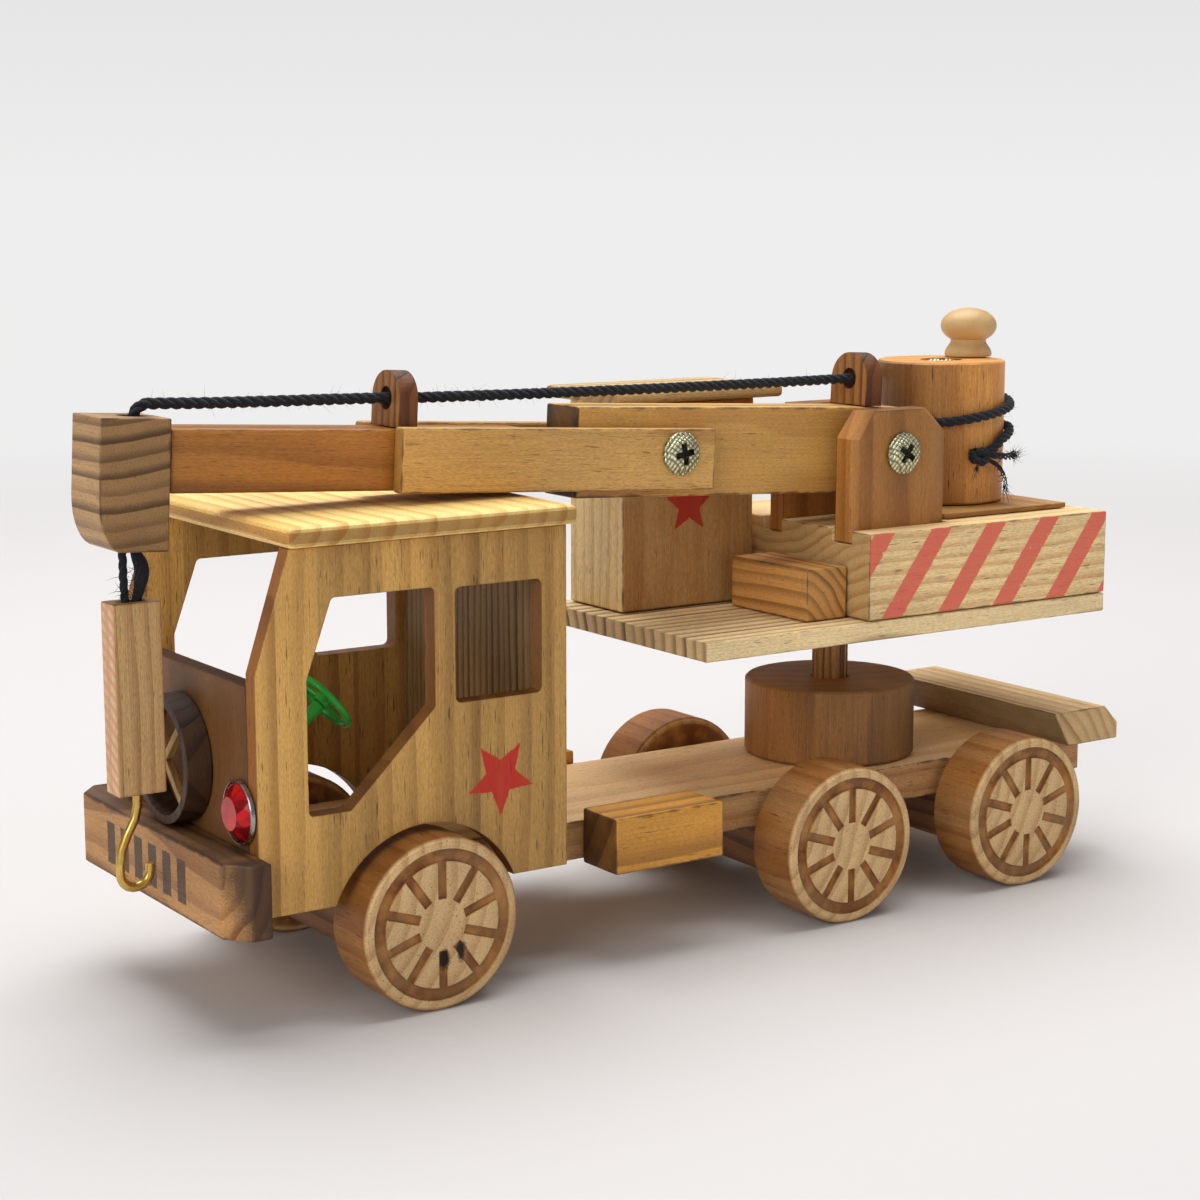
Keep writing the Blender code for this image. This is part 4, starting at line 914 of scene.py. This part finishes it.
# string: three dark strands laid round each other, with loose fibres standing off

yarn = {"radius": 1.3, "lay": 8.0, "step": 0.7, "colours": ("#08080d", "#1c1d29"), "sheen": 0.1,
        "hairsPerMm": 1.6, "hairLength": (0.6, 2.6), "hairRadius": 0.03, "seed": 7}
rig = {"boomY": -10.5, "luff": (69.2, 116.3), "boomTilt": 2.8, "jibAt": -65.7, "jibTilt": 3.2,
       "bore": -137.8, "tipLow": -21.1, "winchX": 107.5, "winchR": 17.3, "knotAngle": -98.0, "knotZ": 112.4}


def yarnMaterial():
    # fine dark filaments
    material, tree, shader = newMaterial("twistedPolyester", {"IOR": 1.45, "Roughness": 0.85})
    where = addNode(tree, "TexCoord").outputs["Object"]
    # filaments 0.2 mm apart
    fine = addNode(tree, "TexNoise", {"Vector": where, "Scale": 2600.0, "Detail": 3.0}).outputs[0]
    fine = addNode(tree, "MapRange", {0: fine, 1: 0.35, 2: 0.65})
    colour = addNode(tree, "Mix", {0: fine, 6: linearColour(yarn["colours"][0]),
                                   7: linearColour(yarn["colours"][1])}, data_type="RGBA")
    bump = addNode(tree, "Bump", {"Height": fine, "Strength": 0.6, "Distance": 0.1 * mm})
    feed(tree, shader, {"Base Color": colour, "Normal": bump})
    shader.inputs["Sheen Weight"].default_value = yarn["sheen"]
    shader.inputs["Sheen Roughness"].default_value = 0.5
    return material


yarnLook = yarnMaterial()


def onBeam(pivot, tilt, x, z):  # a point along and above a tilted beam's pivot
    a = math.radians(tilt)
    return pivot[0] + x * math.cos(a) + z * math.sin(a), pivot[1] - x * math.sin(a) + z * math.cos(a)


jibPivot = onBeam(rig["luff"], rig["boomTilt"], rig["jibAt"], 0.0)


def onJib(x, z, y=0.0):
    at = onBeam(jibPivot, rig["jibTilt"], x, z)
    return Vector((at[0], rig["boomY"] + y, at[1]))


def onBoom(x, z):
    at = onBeam(rig["luff"], rig["boomTilt"], x, z)
    return Vector((at[0], rig["boomY"], at[1]))


def smoothLine(points, step):  # points on a smooth curve through the route, evenly apart
    points = [points[0] * 2 - points[1], *points, points[-1] * 2 - points[-2]]
    dense = []
    for a, b, c, d in zip(points, points[1:], points[2:], points[3:]):
        parts = max(2, math.ceil((c - b).length / step * 3))
        for i in range(parts):
            t = i / parts
            square, cube = 2 * a - 5 * b + 4 * c - d, 3 * b - a - 3 * c + d
            dense.append(0.5 * (2 * b + (c - a) * t + square * t * t + cube * t ** 3))
    dense.append(points[-2])
    line, gone = [dense[0]], 0.0
    for a, b in zip(dense, dense[1:]):
        gone += (b - a).length
        if gone >= step:
            line.append(b)
            gone = 0.0
    return line


def frames(line):  # a side direction carried along the line without twisting
    ahead = [(line[min(i + 1, len(line) - 1)] - line[max(i - 1, 0)]).normalized() for i in range(len(line))]
    side = ahead[0].orthogonal().normalized()
    sides = []
    for way in ahead:
        side = (side - way * side.dot(way)).normalized()
        sides.append((side.copy(), way.cross(side)))
    return ahead, sides


# open lines in millimetres become one mesh of round strands
def tubeMesh(name, lines, radius, resolution, taper=False):
    curve = bpy.data.curves.new(name, "CURVE")
    curve.dimensions = "3D"
    curve.bevel_depth = radius * mm
    curve.bevel_resolution = resolution
    curve.use_fill_caps = True
    for line in lines:
        spline = curve.splines.new("POLY")
        spline.points.add(len(line) - 1)
        for i, (point, at) in enumerate(zip(spline.points, line)):
            point.co = (*(at * mm), 1.0)
            point.radius = 1.0 - 0.8 * i / (len(line) - 1) if taper else 1.0
    piece = bpy.data.objects.new(name, curve)
    bpy.context.scene.collection.objects.link(piece)
    pick(piece)
    bpy.ops.object.convert(target="MESH")
    bpy.ops.object.shade_smooth()
    coat(piece, yarnLook)
    return piece


def laidStrands(line, radius, count=3, lay=None, loose=None):  # the strands' own lines round a route
    ahead, sides = frames(line)
    made = [[] for _ in range(count)]
    gone = 0.0
    for i, at in enumerate(line):
        gone += (at - line[i - 1]).length if i else 0.0
        spread = radius * 0.5 * (loose(i / (len(line) - 1)) if loose else 1.0)
        for k in range(count):
            turn = math.tau * (gone / (lay or yarn["lay"]) + k / count)
            made[k].append(at + sides[i][0] * math.cos(turn) * spread + sides[i][1] * math.sin(turn) * spread)
    return made


def hairs(line, radius, seed, share=1.0):  # short bent fibres that start on the string
    chance = random.Random(yarn["seed"] + seed)
    ahead, sides = frames(line)
    length = sum((b - a).length for a, b in zip(line, line[1:]))
    made = []
    for _ in range(int(length * yarn["hairsPerMm"] * share)):
        i = chance.randrange(len(line))
        turn = chance.uniform(0, math.tau)
        out = sides[i][0] * math.cos(turn) + sides[i][1] * math.sin(turn)
        way = (out * 0.8 + ahead[i] * chance.uniform(-1.2, 1.2)).normalized()
        reach = chance.uniform(*yarn["hairLength"])
        droop = Vector([chance.uniform(-0.5, 0.5) for _ in range(3)])
        start = line[i] + out * radius * 0.8
        made.append([start + way * reach * t + droop * reach * t * t for t in (0.0, 0.4, 0.7, 1.0)])
    return made


def joined(name, parts):
    bpy.ops.object.select_all(action="DESELECT")
    for part in parts:
        part.select_set(True)
    bpy.context.view_layer.objects.active = parts[0]
    bpy.ops.object.join()
    parts[0].name = parts[0].data.name = name
    return parts[0]


def stringPiece(name, route, seed, radius=None):
    radius = radius or yarn["radius"]
    line = smoothLine(route, yarn["step"])
    piece = joined(name, [tubeMesh(name, laidStrands(line, radius), radius * 0.56, 2),
                          tubeMesh(name + "_fuzz", hairs(line, radius, seed), yarn["hairRadius"], 0, True)])
    return piece


def makeString():
    top = [onJib(rig["bore"], rig["tipLow"] + 1.1), onJib(rig["bore"], -8.0), onJib(rig["bore"], 5.0),
           onJib(rig["bore"] + 0.4, 7.9), onJib(rig["bore"] + 2.0, 9.7), onJib(rig["bore"] + 4.5, 10.2),
           onJib(-118.0, 10.5), onJib(-76.0, 12.0), onJib(-70.7, 12.0)]
    piece = stringPiece("string_over_tip", top, 1)
    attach(piece, "jib")
    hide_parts("string_to_tip")
    ends = onJib(-71.0, 12.0), onBoom(-3.6, 18.0)
    span = [ends[0].lerp(ends[1], t) - Vector((0, 0, 1.6 * t * (1 - t)))
            for t in (0.0, 0.2, 0.4, 0.6, 0.8, 1.0)]
    piece = stringPiece("string_span", span, 2)
    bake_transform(piece)
    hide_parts("string_between_eyelets")
    leave = onBoom(1.6, 18.0)
    windR = rig["winchR"] + yarn["radius"] + 0.2
    dx, dy = leave.x - rig["winchX"], leave.y
    meet = math.degrees(math.atan2(dy, dx)) - math.degrees(math.acos(windR / math.hypot(dx, dy)))
    z0 = leave.z - 1.0

    def wound(turned, z, radius=windR):
        a = math.radians(meet - turned)
        return Vector((rig["winchX"] + radius * math.cos(a), radius * math.sin(a), z))

    piece = stringPiece("string_to_drum",
                        [onBoom(-4.0, 18.0), leave, (leave + wound(0, z0)) / 2, wound(0, z0)], 3)
    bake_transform(piece)
    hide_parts("string_to_winch")
    last = (meet - rig["knotAngle"]) % 360 + 360
    stops = [(0.6, z0), (176, 125.6), (262, 121.8), (400, 120.2), (last - 60, 118.8), (last - 30, 116.6),
             (last - 8, 113.2), (last, rig["knotZ"])]
    route = []
    for (t0, h0), (t1, h1) in zip(stops, stops[1:]):
        parts = max(1, round((t1 - t0) / 9))
        route += [wound(t0 + (t1 - t0) * i / parts, h0 + (h1 - h0) * i / parts) for i in range(parts)]
    route += [wound(last, rig["knotZ"], windR - 0.2), wound(last, rig["knotZ"], rig["winchR"] - 3.0)]
    piece = stringPiece("string_on_drum", route, 4)
    # the turns wind on or off evenly from the leaving point down to the knot
    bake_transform(piece)
    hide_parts("string_winding")
    makeTails(wound(last, rig["knotZ"]))


tails = {  # places from the knot's middle, then the radius of each end
    "knot": [(-1.6, 1.2, 1.4), (-1.9, -0.9, -0.6), (0.2, -1.8, -1.4), (1.6, -1.2, 0.4), (0.2, -1.3, 1.6),
             (-1.4, -0.2, 0.8)],
    "ways": [([(0, 1.5, 0), (1.6, -1.2, 0.6), (5.4, -2.2, 0.0), (9.8, -1.4, -0.4), (14.2, 0.8, -0.2)], 1.25),
             ([(0, 1.5, -0.4), (2.2, -1.0, -0.8), (6.4, -1.6, -3.4), (10.0, 0.2, -7.4), (11.6, 1.8, -11.2)],
              0.75),
             ([(0, 1.0, -0.6), (-0.9, -0.8, -1.8), (-1.8, -0.9, -3.6)], 0.5)]}


def frayed(t):  # a cut end opens over its last half
    return 1.0 + 1.6 * max(0.0, t - 0.55)


def makeTails(knot):  # the cut ends that hang from the knot in the drum's hole
    chance = random.Random(yarn["seed"])
    around = smoothLine([knot + Vector(p) for p in tails["knot"]], 0.5)
    parts = [tubeMesh("knot", laidStrands(around, 1.0), 0.58, 2)]
    for number, (way, radius) in enumerate(tails["ways"]):
        line = smoothLine([knot + Vector(p) for p in way], 0.6)
        parts.append(tubeMesh("tail", laidStrands(line, radius, 4, 9.0, frayed), radius * 0.42, 2, True))
        end, back = line[-1], line[-max(2, len(line) // 5)]
        way = (end - back).normalized()
        brush = []
        for _ in range(60 if radius > 1 else 12):
            out = way * 1.0 + Vector([chance.uniform(-0.55, 0.55) for _ in range(3)])
            reach = chance.uniform(2.0, 4.6) * min(1.0, radius + 0.2)
            start = back + Vector([chance.uniform(-0.5, 0.5) for _ in range(3)]) * radius
            curl = Vector([chance.uniform(-0.4, 0.4) for _ in range(3)])
            brush.append([start + out * reach * t + curl * reach * t * t for t in (0.0, 0.5, 1.0)])
        parts.append(tubeMesh("brush", brush + hairs(line, radius, 11 + number), 0.09, 0, True))
    piece = joined("string_tails", parts)
    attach(piece, "winch")


def makeFalls():  # one tight fall, and one whose strands have come loose and fluffy
    top = onJib(rig["bore"], rig["tipLow"] - 0.1)
    foot = Vector((top.x, rig["boomY"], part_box("hook_block")[1].z / mm - 5.0))
    tight = smoothLine([top + Vector((-1.6, 0, 0)), (top + foot) / 2 + Vector((-1.5, 0, 0)),
                        foot + Vector((-0.9, 0, 0))], 0.5)
    loose = smoothLine([top + Vector((1.3, 0.1, 0)), top.lerp(foot, 0.08) + Vector((1.6, 0, 0)),
                        top.lerp(foot, 0.28) + Vector((2.7, -0.1, 0)),
                        top.lerp(foot, 0.5) + Vector((2.2, -0.1, 0)),
                        top.lerp(foot, 0.75) + Vector((1.1, 0, 0)), foot + Vector((0.8, 0, 0))], 0.5)

    def spread(t):  # widest just under the jib's end
        return 1.0 + 1.1 * math.sin(math.pi * min(1.0, 1.3 * t) ** 0.75) ** 2

    parts = [tubeMesh("tight", laidStrands(tight, 0.95, 3, 7.0), 0.52, 2),
             tubeMesh("loose", laidStrands(loose, 1.1, 9, 26.0, spread), 0.5, 2),
             tubeMesh("fluff", hairs(tight[8:], 0.9, 21, 2.0) + hairs(loose[8:], 1.6, 22, 6.0),
                      0.06, 0, True)]
    piece = joined("string_falls_yarn", parts)
    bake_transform(piece)
    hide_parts("string_falls")


makeString()
makeFalls()
print("string laid")
